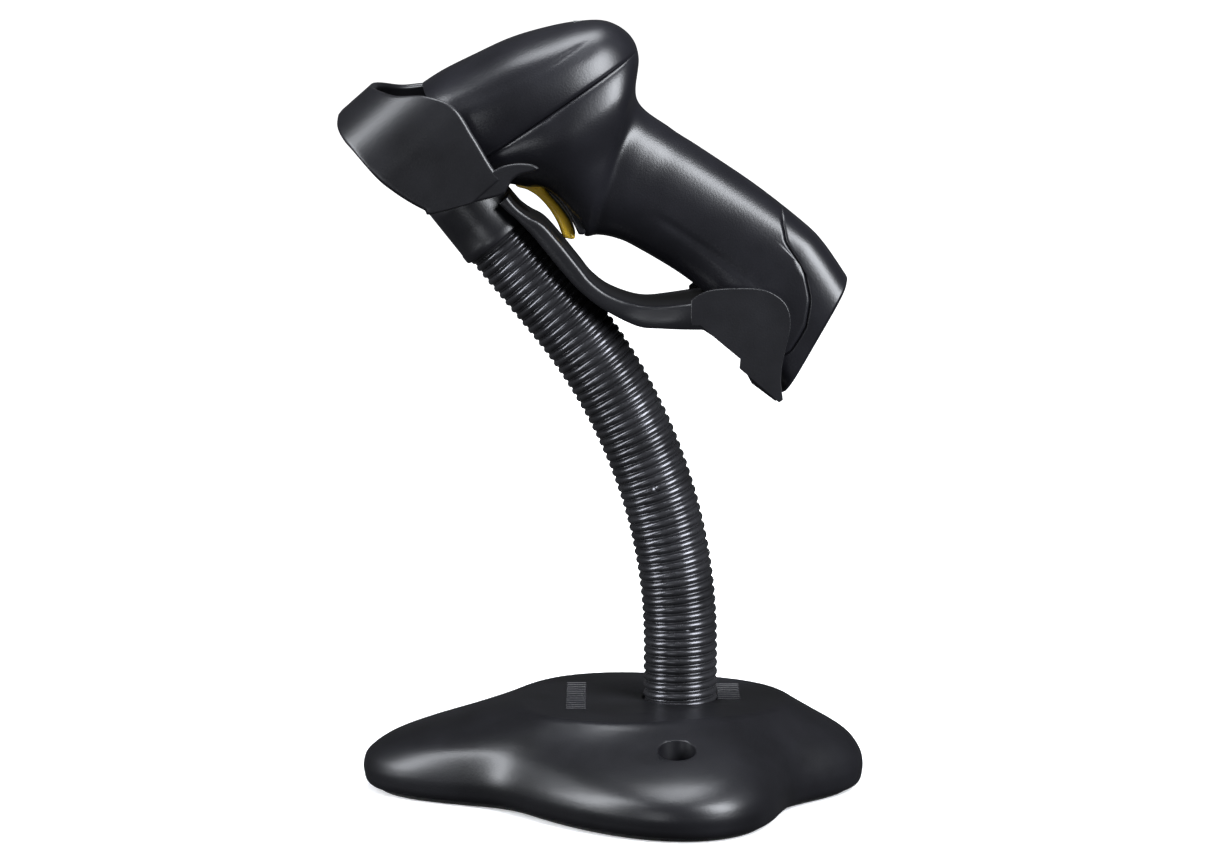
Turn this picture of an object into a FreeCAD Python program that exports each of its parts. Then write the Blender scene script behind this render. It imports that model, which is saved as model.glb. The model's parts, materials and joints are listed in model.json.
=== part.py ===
import FreeCAD, Part
import os
from math import atan2, cos, degrees, pi, radians, sin
from FreeCAD import Placement, Rotation, Vector

# A pistol-grip barcode scanner resting in a gooseneck stand. Millimetres, +Z up.
# Origin: the neck's axis where it meets the table. The scanner's nose points to -X.

doc = FreeCAD.newDocument("ScannerStand")
sheet = doc.addObject("Spreadsheet::Sheet", "Dimensions")

DIMENSIONS = {
    # base
    "mat_thick": 1.5, "plate_thick": 2.0, "rim_height": 9.0, "base_height": 32.0, "base_wall": 3.0,
    "base_centre": -21.5, "mount_spacing": 116.0, "mount_hole": 2.6, "mount_mouth": 6.4,
    "mount_boss": 9.5, "mount_floor": 9.0, "weight_width": 96.0,
    "weight_thick": 9.0, "plate_screw_span": 62.0, "screw_radius": 1.5, "screw_head": 2.8,
    # neck
    "coil_radius": 13.0, "coil_bore": 9.5, "core_radius": 9.2, "core_bore": 6.0,
    "bend_radius": 185.0, "bend_start": 51.0, "bend_turn": 39.2, "straight_length": 33.3,
    "joint_gap": 2.6, "coil_seat": 10.0, "core_gap": 1.9, "ferrule_radius": 9.3, "nut_across": 24.0,
    # holder
    "socket_radius": 13.7, "socket_length": 21.5, "cup_width": 69.0, "cup_wall": 2.6,
    "arm_width": 33.0, "arm_wall": 2.2, "clip_width": 44.0,
    # scanner
    "shell_wall": 2.4, "trigger_width": 15.0,
}


def column_name(index):
    return "A" + str(index), "B" + str(index)


for row, (word, value) in enumerate(DIMENSIONS.items(), start=1):
    label_cell, value_cell = column_name(row)
    sheet.set(label_cell, word)
    sheet.set(value_cell, str(value))
    sheet.setAlias(value_cell, word)
doc.recompute()


def size(word):
    return float(getattr(sheet, word))


def bind(thing, **formulas):
    """Ties an object's sizes to the sheet; a bare word is an alias."""
    for name, formula in formulas.items():
        formula = str(formula)
        for word in sorted(DIMENSIONS, key=len, reverse=True):
            formula = formula.replace("[" + word + "]", "Dimensions." + word)
        thing.setExpression(name, formula)
    return thing


made = []


def piece(thing, name):
    """Marks a finished object as a sub-part; its label names its file."""
    thing.Label = name
    made.append(thing)
    return thing


def aim(direction):
    return Rotation(Vector(0, 0, 1), Vector(*direction))


def cylinder(name, at, direction, **formulas):
    thing = doc.addObject("Part::Cylinder", name)
    thing.Placement = Placement(Vector(*at), aim(direction))
    return bind(thing, **formulas)


def block(name, centre, sides, turn=0.0):
    """A box about its centre, turned about Y by turn degrees."""
    thing = doc.addObject("Part::Box", name)
    for side, value in zip(("Length", "Width", "Height"), sides):
        setattr(thing, side, value)
    rotation = Rotation(Vector(0, 1, 0), turn)
    corner = Vector(*centre) - rotation.multVec(Vector(*sides) * 0.5)
    thing.Placement = Placement(corner, rotation)
    return thing


def cut(name, base, tool):
    thing = doc.addObject("Part::Cut", name)
    thing.Base, thing.Tool = base, tool
    return thing


def fuse(name, shapes):
    thing = doc.addObject("Part::MultiFuse", name)
    thing.Shapes = shapes
    return thing


def common(name, shapes):
    thing = doc.addObject("Part::MultiCommon", name)
    thing.Shapes = shapes
    return thing


def group(name, shapes):
    thing = doc.addObject("Part::Compound", name)
    thing.Links = shapes
    return thing


def origin_plane(body, role):
    return next(f for f in body.Origin.OriginFeatures if f.Role == role)


def sketch_on(body, name, role, offset=None):
    sketch = body.newObject("Sketcher::SketchObject", name)
    sketch.AttachmentSupport = (origin_plane(body, role), [""])
    sketch.MapMode = "FlatFace"
    if offset:
        sketch.AttachmentOffset = offset
    return sketch


def closed_spline(sketch, points):
    curve = Part.BSplineCurve()
    curve.interpolate([Vector(x, y, 0) for x, y in points], PeriodicFlag=True)
    sketch.addGeometry(curve, False)


def side_outline(sketch, points, corners=()):
    """A closed outline in the XZ plane: smooth splines between the points whose index is in corners."""
    if not corners:
        closed_spline(sketch, points)
        return
    corners = list(corners)
    for first, last in zip(corners, corners[1:] + [corners[0] + len(points)]):
        run = [points[i % len(points)] for i in range(first, last + 1)]
        if len(run) == 2:
            edge = Part.LineSegment(Vector(*run[0], 0), Vector(*run[1], 0))
        else:
            edge = Part.BSplineCurve()
            edge.interpolate([Vector(x, y, 0) for x, y in run])
        sketch.addGeometry(edge, False)


def side_pad(body, name, points, width, corners=(), pocket=False):
    """An outline in the XZ plane, padded or pocketed evenly to both sides of it."""
    sketch = sketch_on(body, name + "_outline", "XZ_Plane")
    side_outline(sketch, points, corners)
    feature = body.newObject("PartDesign::Pocket" if pocket else "PartDesign::Pad", name)
    feature.Profile = sketch
    feature.Midplane = True
    return bind(feature, Length=width)


def new_body(name):
    return doc.addObject("PartDesign::Body", name)


# ---------------------------------------------------------------- base

LOBES = (75.7, 5.9, 0.8, -10.0, 7.9, 2.1, 3.3)        # the rim's radius as a cosine series in the angle
CROWN = (45.4, -6.0, 3.5, 1.5, -0.9)          # the same for the flat top about the neck
RING_POINTS = 36


def ring(series, centre, inset=0.0):
    points = []
    for k in range(RING_POINTS):
        angle = 2 * pi * k / RING_POINTS
        radius = sum(c * cos(n * angle) for n, c in enumerate(series)) - inset
        points.append((centre + radius * cos(angle), radius * sin(angle)))
    return points


def rise(part, inset=0.0):
    """The base's outline part of the way from the rim (0) to the flat top (1)."""
    low = ring(LOBES, size("base_centre"), inset)
    high = ring(CROWN, size("base_centre") + 16.0, inset * 0.8)
    return [((1 - part) * a[0] + part * b[0], (1 - part) * a[1] + part * b[1])
            for a, b in zip(low, high)]


def bell(body, name, levels, subtractive=False):
    """A loft through level outlines: (height, part of the way up, inset)."""
    sketches = []
    for number, (height, part, inset) in enumerate(levels):
        sketch = sketch_on(body, f"{name}_level_{number}", "XY_Plane",
                           Placement(Vector(0, 0, height), Rotation()))
        closed_spline(sketch, rise(part, inset))
        sketches.append(sketch)
    kind = "PartDesign::SubtractiveLoft" if subtractive else "PartDesign::AdditiveLoft"
    loft = body.newObject(kind, name)
    loft.Profile = sketches[0]
    loft.Sections = sketches[1:]
    doc.recompute()
    return loft


def mount_places():
    half = size("mount_spacing") / 2
    return [(-2.0, -half), (-2.0, half)]


def base_parts():
    mat, rim, top = size("mat_thick"), size("rim_height"), size("base_height")
    wall = size("base_wall")

    cover = new_body("CoverBody")
    flank = [(rim + 4.5, 0.03, 0.3), (18.5, 0.17, 0), (22.5, 0.37, 0), (26.5, 0.64, 0), (29.7, 0.86, 0),
             (top, 1, 0)]
    outside = [(mat, 0, 2.2), (mat + 3.0, 0, 0.5), (rim, 0, 0)] + flank
    bell(cover, "Bell", outside)
    bell(cover, "Hollow", [(mat, 0, 5.0), (mat + 3.0, 0, 3.7), (rim, 0, 3.4)]
         + [(height - wall, part + 0.02 * (1 - part), 2.0) for height, part, _ in flank], subtractive=True)
    cover_tools = [cylinder("NeckHole", (0, 0, 15), (0, 0, 1), Radius="[ferrule_radius] + 0.1", Height=30)]
    bosses = []
    for n, (x, y) in enumerate(mount_places()):
        bosses.append(cylinder(f"MountBoss{n}", (x, y, mat + size("plate_thick")), (0, 0, 1),
                               Radius="[mount_boss]", Height="[base_height]"))
        cover_tools.append(cylinder(f"MountHole{n}", (x, y, -1), (0, 0, 1), Radius="[mount_hole]", Height=40))
        cover_tools.append(cylinder(f"MountMouth{n}", (x, y, 0), (0, 0, 1), Radius="[mount_mouth]", Height=30))
        bind(cover_tools[-1], **{"Placement.Base.z": "[mount_floor]"})
    posts = []
    for n, (x, y) in enumerate(screw_places()):
        posts.append(cylinder(f"ScrewPost{n}", (x, y, mat + size("plate_thick")), (0, 0, 1), Radius=4,
                              Height="[base_height]"))
        cover_tools.append(cylinder(f"ScrewPostHole{n}", (x, y, mat), (0, 0, 1), Radius="[screw_radius]",
                                    Height=12))
    limit = new_body("PostLimitBody")
    bell(limit, "PostLimit", outside)
    inside = common("PostsInside", [fuse("Posts", bosses + posts), limit])
    solid = fuse("CoverWithPosts", [cover, inside])
    piece(cut("CoverCut", solid, fuse("CoverTools", cover_tools)), "base_cover")

    plate = new_body("PlateBody")
    bell(plate, "PlateSlab", [(mat, 0, 5.4), (mat + size("plate_thick"), 0, 5.0)])
    tools = [cylinder(f"PlateMountHole{n}", (x, y, -1), (0, 0, 1), Radius="[mount_hole]", Height=10)
             for n, (x, y) in enumerate(mount_places())]
    tools += [cylinder(f"PlateScrewHole{n}", (x, y, -1), (0, 0, 1), Radius="[screw_radius] + 0.1", Height=10)
              for n, (x, y) in enumerate(screw_places())]
    piece(cut("PlateCut", plate, fuse("PlateTools", tools)), "base_plate")

    pad = new_body("MatBody")
    bell(pad, "MatSlab", [(0, 0, 5.5), (mat, 0, 5.5)])
    tools = [cylinder(f"MatHole{n}", (x, y, -1), (0, 0, 1), Radius="[mount_hole] + 0.6", Height=10)
             for n, (x, y) in enumerate(mount_places())]
    tools += [cylinder(f"MatScrewHole{n}", (x, y, -1), (0, 0, 1), Radius="[screw_head] + 0.3", Height=10)
              for n, (x, y) in enumerate(screw_places())]
    piece(cut("MatCut", pad, fuse("MatTools", tools)), "rubber_mat")

    slab = doc.addObject("Part::Cylinder", "WeightDisc")
    slab.Placement = Placement(Vector(-8, 0, mat + size("plate_thick")), Rotation())
    bind(slab, Radius="[weight_width] / 2", Height="[weight_thick]")
    middle = cylinder("WeightHole", (0, 0, 0), (0, 0, 1), Radius=16, Height=30)
    clear = [cylinder(f"WeightRelief{n}", (x, y, 0), (0, 0, 1), Radius="[mount_boss] + 0.6", Height=30)
             for n, (x, y) in enumerate(mount_places())]
    clear += [cylinder(f"WeightScrewRelief{n}", (x, y, 0), (0, 0, 1), Radius=4.5, Height=30)
              for n, (x, y) in enumerate(screw_places())]
    piece(cut("WeightCut", slab, fuse("WeightTools", [middle] + clear)), "base_weight")

    screws = []
    for n, (x, y) in enumerate(screw_places()):
        head = cylinder(f"BaseScrewHead{n}", (x, y, 0.2), (0, 0, 1), Radius="[screw_head]", Height=1.3)
        shank = cylinder(f"BaseScrewShank{n}", (x, y, 1.4), (0, 0, 1), Radius="[screw_radius] - 0.02",
                         Height=10)
        screws.append(fuse(f"BaseScrew{n}", [head, shank]))
    piece(group("BaseScrews", screws), "base_screws")


def screw_places():
    half = size("plate_screw_span") / 2
    return [(-72.0, 0.0), (46.0, 0.0), (22.0, -half - 22), (22.0, half + 22)]


# ---------------------------------------------------------------- gooseneck

JOINT_COUNT = 7


def neck_point(travel):
    """The neck's centre line: place and direction at a distance along it from the flat top."""
    straight = size("bend_start") - size("base_height")
    turn = radians(size("bend_turn"))
    arc = size("bend_radius") * turn
    if travel <= straight:
        return Vector(0, 0, size("base_height") + travel), 0.0
    if travel <= straight + arc:
        angle = (travel - straight) / size("bend_radius")
        return Vector(-size("bend_radius") * (1 - cos(angle)), 0,
                      size("bend_start") + size("bend_radius") * sin(angle)), angle
    end, angle = neck_point(straight + arc)
    rest = travel - straight - arc
    return end + Vector(-sin(turn), 0, cos(turn)) * rest, turn


def neck_length():
    return (size("bend_start") - size("base_height") + size("bend_radius") * radians(size("bend_turn"))
            + size("straight_length"))


def joint_travel(number):
    """Joints 1 to 7 stand evenly along the free part of the neck."""
    first, last = 13.0, neck_length() - 13.0
    return first + (last - first) * (number - 1) / (JOINT_COUNT - 1)


def neck_wire(start, end):
    """The centre line between two distances, as tangent lines and arcs."""
    straight = size("bend_start") - size("base_height")
    bend_end = straight + size("bend_radius") * radians(size("bend_turn"))
    stops = [start] + [s for s in (straight, bend_end) if start + 0.01 < s < end - 0.01] + [end]
    edges = []
    for a, b in zip(stops, stops[1:]):
        first, last = neck_point(a)[0], neck_point(b)[0]
        if a < bend_end - 0.001 and b > straight + 0.001:
            middle = neck_point((a + b) / 2)[0]
            edges.append(Part.Arc(first, middle, last).toShape())
        else:
            edges.append(Part.LineSegment(first, last).toShape())
    return Part.Wire(edges)


def neck_tube(name, start, end, outer, bore):
    """A tube along a stretch of the neck's centre line."""
    path = neck_wire(start, end)
    place, angle = neck_point(start)
    direction = Vector(-sin(angle), 0, cos(angle))
    shells = []
    for radius in (outer, bore):
        circle = Part.Wire(Part.Circle(place, direction, radius).toShape())
        shells.append(path.makePipeShell([circle], True, True))
    thing = doc.addObject("Part::Feature", name)
    thing.Shape = shells[0].cut(shells[1])
    thing.Placement = Placement()
    return thing


def neck_parts():
    half = size("joint_gap") / 2
    stops = [0.0] + [joint_travel(n) for n in range(1, JOINT_COUNT + 1)] + [neck_length() + size("coil_seat")]
    for link in range(JOINT_COUNT + 1):
        low = stops[link] + (half if link else 0)
        high = stops[link + 1] - (half if link < JOINT_COUNT else 0)
        spare = half - size("core_gap") / 2
        coil = neck_tube(f"Coil{link}", low, high, size("coil_radius"), size("coil_bore"))
        piece(coil, f"neck_coil_{link}")
        if link:
            core_high = high + spare if link < JOINT_COUNT else neck_length() - 2.0
            core = neck_tube(f"Core{link}", low - spare, core_high, size("core_radius"), size("core_bore"))
            piece(core, f"neck_liner_{link}")

    stem = cylinder("FerruleStem", (0, 0, 12), (0, 0, 1), Radius="[ferrule_radius]",
                    Height="[base_height] - 1.5")
    bore = cylinder("FerruleBore", (0, 0, 0), (0, 0, 1), Radius="[core_bore]", Height=80)
    piece(cut("FerruleCut", stem, bore), "lower_ferrule")
    washer = cylinder("WasherDisc", (0, 0, 26.8), (0, 0, 1), Radius=15, Height=1.6)
    hole = cylinder("WasherHole", (0, 0, 20), (0, 0, 1), Radius="[ferrule_radius] + 0.05", Height=20)
    piece(cut("WasherCut", washer, hole), "neck_washer")
    nut = doc.addObject("Part::Prism", "NutPrism")
    nut.Polygon = 6
    nut.Placement = Placement(Vector(0, 0, 18.6), Rotation())
    bind(nut, Circumradius="[nut_across] / 2 / cos(30 deg)", Height=8.0)
    hole = cylinder("NutHole", (0, 0, 10), (0, 0, 1), Radius="[ferrule_radius] + 0.05", Height=30)
    piece(cut("NutCut", nut, hole), "neck_nut")

    end, angle = neck_point(neck_length())
    up = Vector(-sin(angle), 0, cos(angle))
    stem = cylinder("UpperStem", tuple(end - up * 1.5), tuple(up), Radius="[ferrule_radius]",
                    Height="[coil_seat] + 1")
    bore = cylinder("UpperBore", tuple(end - up * 10), tuple(up), Radius="[core_bore]", Height=60)
    piece(cut("UpperFerruleCut", stem, bore), "upper_ferrule")


# ---------------------------------------------------------------- holder: cup, socket, arm and butt clip

CUP_TURN = 48.7                    # the cup's own axis leans this far from upright, towards +X
CUP_FRONT, CUP_BACK = -255.7, -203.9     # the cup's front and back walls, across its axis
CUP_MOUTH, CUP_RIM = 63.5, 99.0          # its open mouth and its highest rim, along its axis
SOCKET_UP = Vector(-sin(radians(39.2)), 0, cos(radians(39.2)))


def cup_place(across, along):
    """A point in the cup's own directions, as X and Z."""
    turn = radians(CUP_TURN)
    return cos(turn) * across + sin(turn) * along, -sin(turn) * across + cos(turn) * along


def rounded_prism(body, name, inset, low, high, back, pocket=False):
    """The cup's plan, a box with a round front, padded along the cup's axis."""
    place = Placement(Vector(0, 0, 0), Rotation(Vector(0, 1, 0), CUP_TURN))
    place = place.multiply(Placement(Vector(0, 0, low), Rotation()))
    sketch = sketch_on(body, name + "_plan", "XY_Plane", place)
    half, round_off = size("cup_width") / 2 - inset, 27.0 - inset
    front = CUP_FRONT + inset
    corner = front + round_off
    slant = round_off * (1 - sin(pi / 4))
    for side in (-1, 1):
        edge = Part.LineSegment(Vector(back, side * half, 0), Vector(corner, side * half, 0))
        sketch.addGeometry(edge, False)
        sketch.addGeometry(Part.Arc(Vector(corner, side * half, 0),
                                    Vector(front + slant, side * (half - slant), 0),
                                    Vector(front, side * (half - round_off), 0)), False)
    for x, y in ((front, half - round_off), (back, half)):
        sketch.addGeometry(Part.LineSegment(Vector(x, -y, 0), Vector(x, y, 0)), False)
    feature = body.newObject("PartDesign::Pocket" if pocket else "PartDesign::Pad", name)
    feature.Profile = sketch
    feature.Length = high - low
    feature.Reversed = pocket
    return feature


def holder_parts():
    cup = new_body("CupBody")
    rounded_prism(cup, "CupBlock", 0.0, CUP_MOUTH, CUP_RIM, CUP_BACK)
    doc.recompute()
    solid_volume = cup.Shape.Volume
    rounded_prism(cup, "CupRoom", size("cup_wall"), CUP_MOUTH - 5, CUP_RIM + 5, CUP_BACK - size("cup_wall"),
                  pocket=True)
    doc.recompute()
    assert cup.Shape.Volume < solid_volume * 0.4, "the cup's room cuts nothing"
    rim = [(-125, 249), (-107.5, 247.3), (-97.5, 245.2), (-87, 245.3), (-77, 241.5), (-70, 231.0),
           (-62.5, 219.0), (-48, 214), (-48, 275), (-125, 275)]
    side_pad(cup, "RimCut", rim, "[cup_width] + 20", corners=(0, 1, 6, 7, 8, 9), pocket=True)
    mouth = [(-118.8, 237.9), (-117.8, 233.8), (-115.4, 230.2), (-111.2, 226.0), (-103.0, 217.2),
             (-97.7, 212.9), (-92.4, 209.4), (-87.2, 206.6), (-76.0, 200.6), (-76.0, 185.0),
             (-130.0, 185.0), (-130.0, 237.9)]
    side_pad(cup, "MouthCut", mouth, "[cup_width] + 20", corners=(0, 8, 9, 10, 11), pocket=True)
    doc.recompute()
    back_top = cup_place(CUP_BACK - 1.3, 100)
    low_back = block("BackWallCut", (back_top[0], 0, back_top[1]), (6.2, 62.0, 25.0), CUP_TURN)

    foot = neck_point(neck_length())[0]
    socket = cylinder("SocketBarrel", tuple(foot), tuple(SOCKET_UP), Radius="[socket_radius]",
                      Height="[socket_length] + 3")
    room_at = cup_place(CUP_BACK - size("cup_wall") - 20, 85)
    room = block("CupRoomAgain", (room_at[0], 0, room_at[1]), (40.0, 63.6, 60.0), CUP_TURN)
    under_scanner = region("UnderScanner", [(-80, 215.5), (-70.6, 213.7), (-57.4, 211.9), (-45, 208.5),
                                            (-45, 240), (-80, 240)], 62, (0, 1, 2, 3, 4, 5))
    outside = cut("SocketTrimmed", socket, fuse("SocketTrims", [room, under_scanner]))
    whole = fuse("CupAndSocket", [cut("CupLow", cup, low_back), outside])
    bore = cylinder("SocketBore", tuple(foot - SOCKET_UP), tuple(SOCKET_UP), Radius="[coil_radius] + 0.02",
                    Height="[coil_seat] + 1.3")
    screw_seat = foot + SOCKET_UP * 5.0
    screw = cylinder("SetScrewHole", tuple(screw_seat), (0, 1, 0), Radius=1.6, Height=20)
    piece(cut("CupFinished", whole, fuse("CupTools", [bore, screw])), "holder_cup")
    head = cylinder("SetScrewBody", tuple(screw_seat + Vector(0, 13.05, 0)), (0, 1, 0), Radius=1.55, Height=1.0)
    piece(head, "socket_set_screw")
    arm_parts()


def arm_parts():
    arm = new_body("ArmBody")
    outline = [(-61.6, 208.6), (-57.6, 210.4), (-53.9, 209.2), (-49.9, 204.2), (-42.4, 194.2), (-34.4, 184.1),
               (-24.3, 175.8), (-14.0, 172.3), (-4.0, 172.0), (7.4, 173.4), (7.4, 164.2), (-6.7, 164.4),
               (-15.6, 165.0), (-26.9, 171.0), (-36.4, 177.1), (-46.8, 187.4), (-53.6, 198.6)]
    side_pad(arm, "Strap", outline, "[arm_width]", corners=(0, 1, 2, 9, 10))
    room = [(-54.4, 209.4), (-56.1, 208.0), (-51.5, 202.6), (-44.0, 192.8), (-35.9, 182.7), (-25.5, 173.7),
            (-14.5, 170.1), (-4.0, 169.8), (3.0, 170.3), (3.0, 150.0), (-75, 150), (-75, 214), (-53, 214)]
    doc.recompute()
    volume = arm.Shape.Volume
    side_pad(arm, "StrapChannel", room, "[arm_width] - 2 * [arm_wall]", corners=(0, 1, 8, 9, 10, 11, 12),
             pocket=True)
    doc.recompute()
    assert arm.Shape.Volume < volume * 0.6, "the strap's channel cuts nothing"

    clip = new_body("ClipBody")
    outline = [(5.0, 173.6), (31.4, 174.0), (38.4, 168.6), (37.2, 157.0), (31.6, 146.0), (34.0, 138.6),
               (23.8, 145.6), (21.2, 150.6), (22.9, 154.0), (7.4, 164.1)]
    side_pad(clip, "ClipBlock", outline, "[clip_width]", corners=(0, 1, 4, 5, 6, 7, 8, 9))
    whole = fuse("ArmAndClip", [arm, clip])
    room = new_body("ClipRoomBody")
    outline = [(6.4, 178.0), (13.4, 167.2), (19.4, 157.9), (25.2, 147.6), (34.4, 139.0), (50.0, 134.0),
               (60, 190), (6.4, 190)]
    side_pad(room, "ClipRoom", outline, "[clip_width] - 2 * [arm_wall]", corners=(0, 4, 5, 6, 7))
    piece(cut("ArmFinished", whole, room), "support_arm")


# ---------------------------------------------------------------- scanner

# The pistol-grip shell: each station is (rear or top point), (front or underside point), half width.
STATIONS = [
    ((-88.9, 247.3), (-70.6, 214.4), 27.0), ((-81.9, 251.7), (-64.4, 213.4), 29.0),
    ((-71.4, 256.9), (-57.4, 212.6), 30.5), ((-59.2, 262.5), (-50.8, 211.1), 31.0),
    ((-46.9, 266.2), (-45.2, 207.9), 31.0), ((-35.7, 268.3), (-41.0, 203.7), 30.5),
    ((-25.9, 268.3), (-37.5, 199.2), 29.0), ((-18.2, 263.9), (-34.7, 195.9), 27.0),
    ((-14.8, 256.2), (-32.6, 194.5), 24.5), ((-15.2, 241.2), (-28.7, 195.0), 19.5),
    ((-3.9, 231.7), (-22.8, 193.9), 17.6), ((6.3, 225.1), (-15.8, 190.8), 17.2),
    ((25.6, 212.1), (1.4, 180.3), 17.2), ((42.4, 198.8), (15.4, 168.2), 18.0),
    ((49.6, 191.4), (20.9, 158.8), 18.4), ((57.6, 179.8), (35.1, 140.1), 18.4),
]
SECTION_POINTS = 12
HEAD_TURN = -30.0                 # the head's axis rises 30 degrees towards its rear
HEAD_BACK = Vector(cos(radians(30)), 0, sin(radians(30)))
HEAD_UP = Vector(-sin(radians(30)), 0, cos(radians(30)))
NOSE = Vector(-79.7, 0, 230.8)    # centre of the nose's front face
CREASE_TURN = -34.2               # the parting line between the top cover and the grip
CREASE_POINT = (-41.7, 240.6)
GRIP = Vector(cos(radians(34.5)), 0, -sin(radians(34.5)))
BUTT_OUT = Vector(cos(radians(28.6)), 0, -sin(radians(28.6)))


def shrunk(stations, inset):
    """The same stations, smaller all round by inset, with both ends drawn in."""
    result = []
    for top, bottom, half in stations:
        chord = Vector(top[0] - bottom[0], 0, top[1] - bottom[1])
        step = chord.normalize() * inset
        result.append(((top[0] - step.x, top[1] - step.z), (bottom[0] + step.x, bottom[1] + step.z),
                       half - inset))
    if inset:
        for end, shift in ((0, HEAD_BACK * inset), (-1, BUTT_OUT * -inset)):
            top, bottom, half = result[end]
            result[end] = ((top[0] + shift.x, top[1] + shift.z),
                           (bottom[0] + shift.x, bottom[1] + shift.z), half)
    return result


def gun_loft(name, inset, side):
    """Half of the gun: a loft down the head and the grip, through sections that fan round the trigger."""
    body = new_body(name + "Body")
    sketches = []
    for number, (top, bottom, half) in enumerate(shrunk(STATIONS, inset)):
        dx, dz = top[0] - bottom[0], top[1] - bottom[1]
        length = (dx * dx + dz * dz) ** 0.5
        turn = degrees(atan2(-dz, dx))
        place = Placement(Vector(bottom[0], 0, bottom[1]), Rotation(Vector(0, 1, 0), turn))
        sketch = sketch_on(body, f"{name}_section_{number}", "XY_Plane", place)
        points = []
        for k in range(SECTION_POINTS + 1):
            angle = pi * k / SECTION_POINTS
            along = abs(cos(angle)) ** 0.8 * (1 if angle < pi / 2 else -1)
            points.append(Vector(length / 2 * (1 + along), side * half * sin(angle) ** 0.8, 0))
        points[0].y = points[-1].y = 0
        curve = Part.BSplineCurve()
        curve.interpolate(points)
        sketch.addGeometry(curve, False)
        sketch.addGeometry(Part.LineSegment(points[-1], points[0]), False)
        sketches.append(sketch)
    loft = body.newObject("PartDesign::AdditiveLoft", name)
    loft.Profile = sketches[0]
    loft.Sections = sketches[1:]
    doc.recompute()
    return body


def head_at(back, side, up):
    return tuple(NOSE + HEAD_BACK * back + Vector(0, side, 0) + HEAD_UP * up)


def head_block(name, at, sides):
    return block(name, head_at(*at), sides, HEAD_TURN)


def region(name, points, width, corners):
    """A prism over an outline in the XZ plane, for cutting shells apart."""
    body = new_body(name + "Body")
    side_pad(body, name, points, width, corners=corners)
    return body


def scanner_shells():
    above = block("AboveCrease", (CREASE_POINT[0], 0, CREASE_POINT[1]), (140, 90, 60), CREASE_TURN)
    lift = Rotation(Vector(0, 1, 0), CREASE_TURN).multVec(Vector(0, 0, 30))
    above.Placement.Base = above.Placement.Base + lift
    butt_outline = [(33.0, 212.0), (34.2, 201.0), (35.4, 194.0), (41.8, 184.0), (43.8, 174.5), (42.2, 164.5),
                    (38.4, 156.0), (31.0, 146.5), (24.0, 136.0), (40, 125), (75, 125), (75, 212)]
    butt = region("ButtRegion", butt_outline, 60, (0, 8, 9, 10, 11))
    slot = region("TriggerRoom", [(-58.5, 209.5), (-50.0, 206.5), (-41.5, 193.0), (-31.2, 192.0),
                                  (-30.8, 197.5), (-36.5, 207.0), (-46.0, 216.0), (-58.5, 217.0)],
                  "[trigger_width] + 1.2", (0, 1, 2, 3, 4, 5, 6, 7))
    window = head_block("NoseOpening", (1.2, 0, 0), (6.0, 35.0, 17.6))
    lens = block("LensOpening", (LENS[0], 0, LENS[1]), (9.0, 4.0, 9.0))
    jack = block("JackOpening", butt_point(0, 0, 0), (8.0, 12.4, 9.4), 28.6)
    pin = cylinder("TriggerPinBore", (PIVOT[0], -13.1, PIVOT[1]), (0, 1, 0), Radius=1.5, Height=26.2)
    sinks = [cylinder(f"HousingSink{n}", (x, 8.0, z), (0, 1, 0), Radius=3.0, Height=30)
             for n, (x, z) in enumerate(HOUSING_SCREWS)]
    bores = [cylinder(f"HousingThread{n}", (x, -8.0, z), (0, 1, 0), Radius=1.45, Height=20)
             for n, (x, z) in enumerate(HOUSING_SCREWS)]
    openings = fuse("ShellOpenings", [slot, window, lens, jack, pin] + sinks + bores)

    covers, butts = [], []
    for side, word in ((-1, "left"), (1, "right")):
        outer = gun_loft("Outer_" + word, 0.0, side)
        inner = gun_loft("Inner_" + word, size("shell_wall"), side)
        posts = [cylinder(f"Post{n}_{word}", (x, 0, z), (0, side, 0), Radius=3.4, Height=40)
                 for n, (x, z) in enumerate(HOUSING_SCREWS)]
        ear = cylinder("PivotEar_" + word, (PIVOT[0], side * 9.4, PIVOT[1]), (0, side, 0), Radius=3.6,
                       Height=4.0)
        web = block("PivotWeb_" + word, (PIVOT[0] + 1.0, side * 11.4, PIVOT[1] - 3.0), (7.0, 4.0, 6.0))
        stays = common("Stays_" + word, [outer, fuse("StayRods_" + word, posts + [ear, web])])
        shell = fuse("Shell_" + word, [cut("Skin_" + word, outer, inner), stays])
        ready = cut("Ready_" + word, shell, openings)
        covers.append(common("CoverHalf_" + word, [ready, above]))
        below = cut("Below_" + word, ready, above)
        piece(cut("Grip_" + word, below, butt), "grip_" + word)
        butts.append(common("ButtHalf_" + word, [below, butt]))
    piece(fuse("TopCover", covers), "top_cover")
    piece(fuse("ButtCap", butts), "butt_cap")


HOUSING_SCREWS = [(-17.0, 206.0), (24.0, 190.0)]
PIVOT = (-51.6, 216.4)
LENS = (-33.0, 266.7)
PRESS_TURN = -40.5


def butt_point(out, side, up):
    """From the middle of the butt's end face: outwards, sideways and up along the face."""
    middle = Vector(46.7, 0, 160.8)
    along = Vector(sin(radians(28.6)), 0, cos(radians(28.6)))
    return tuple(middle + BUTT_OUT * out + Vector(0, side, 0) + along * up)


def tray(name, at, sides, wall):
    """A box, open on top, in the head's directions."""
    outside = head_block(name + "Outside", at, sides)
    room_at = (at[0], at[1], at[2] + wall)
    room = head_block(name + "Room", room_at, (sides[0] - 2 * wall, sides[1] - 2 * wall, sides[2]))
    return cut(name, outside, room)


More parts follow.
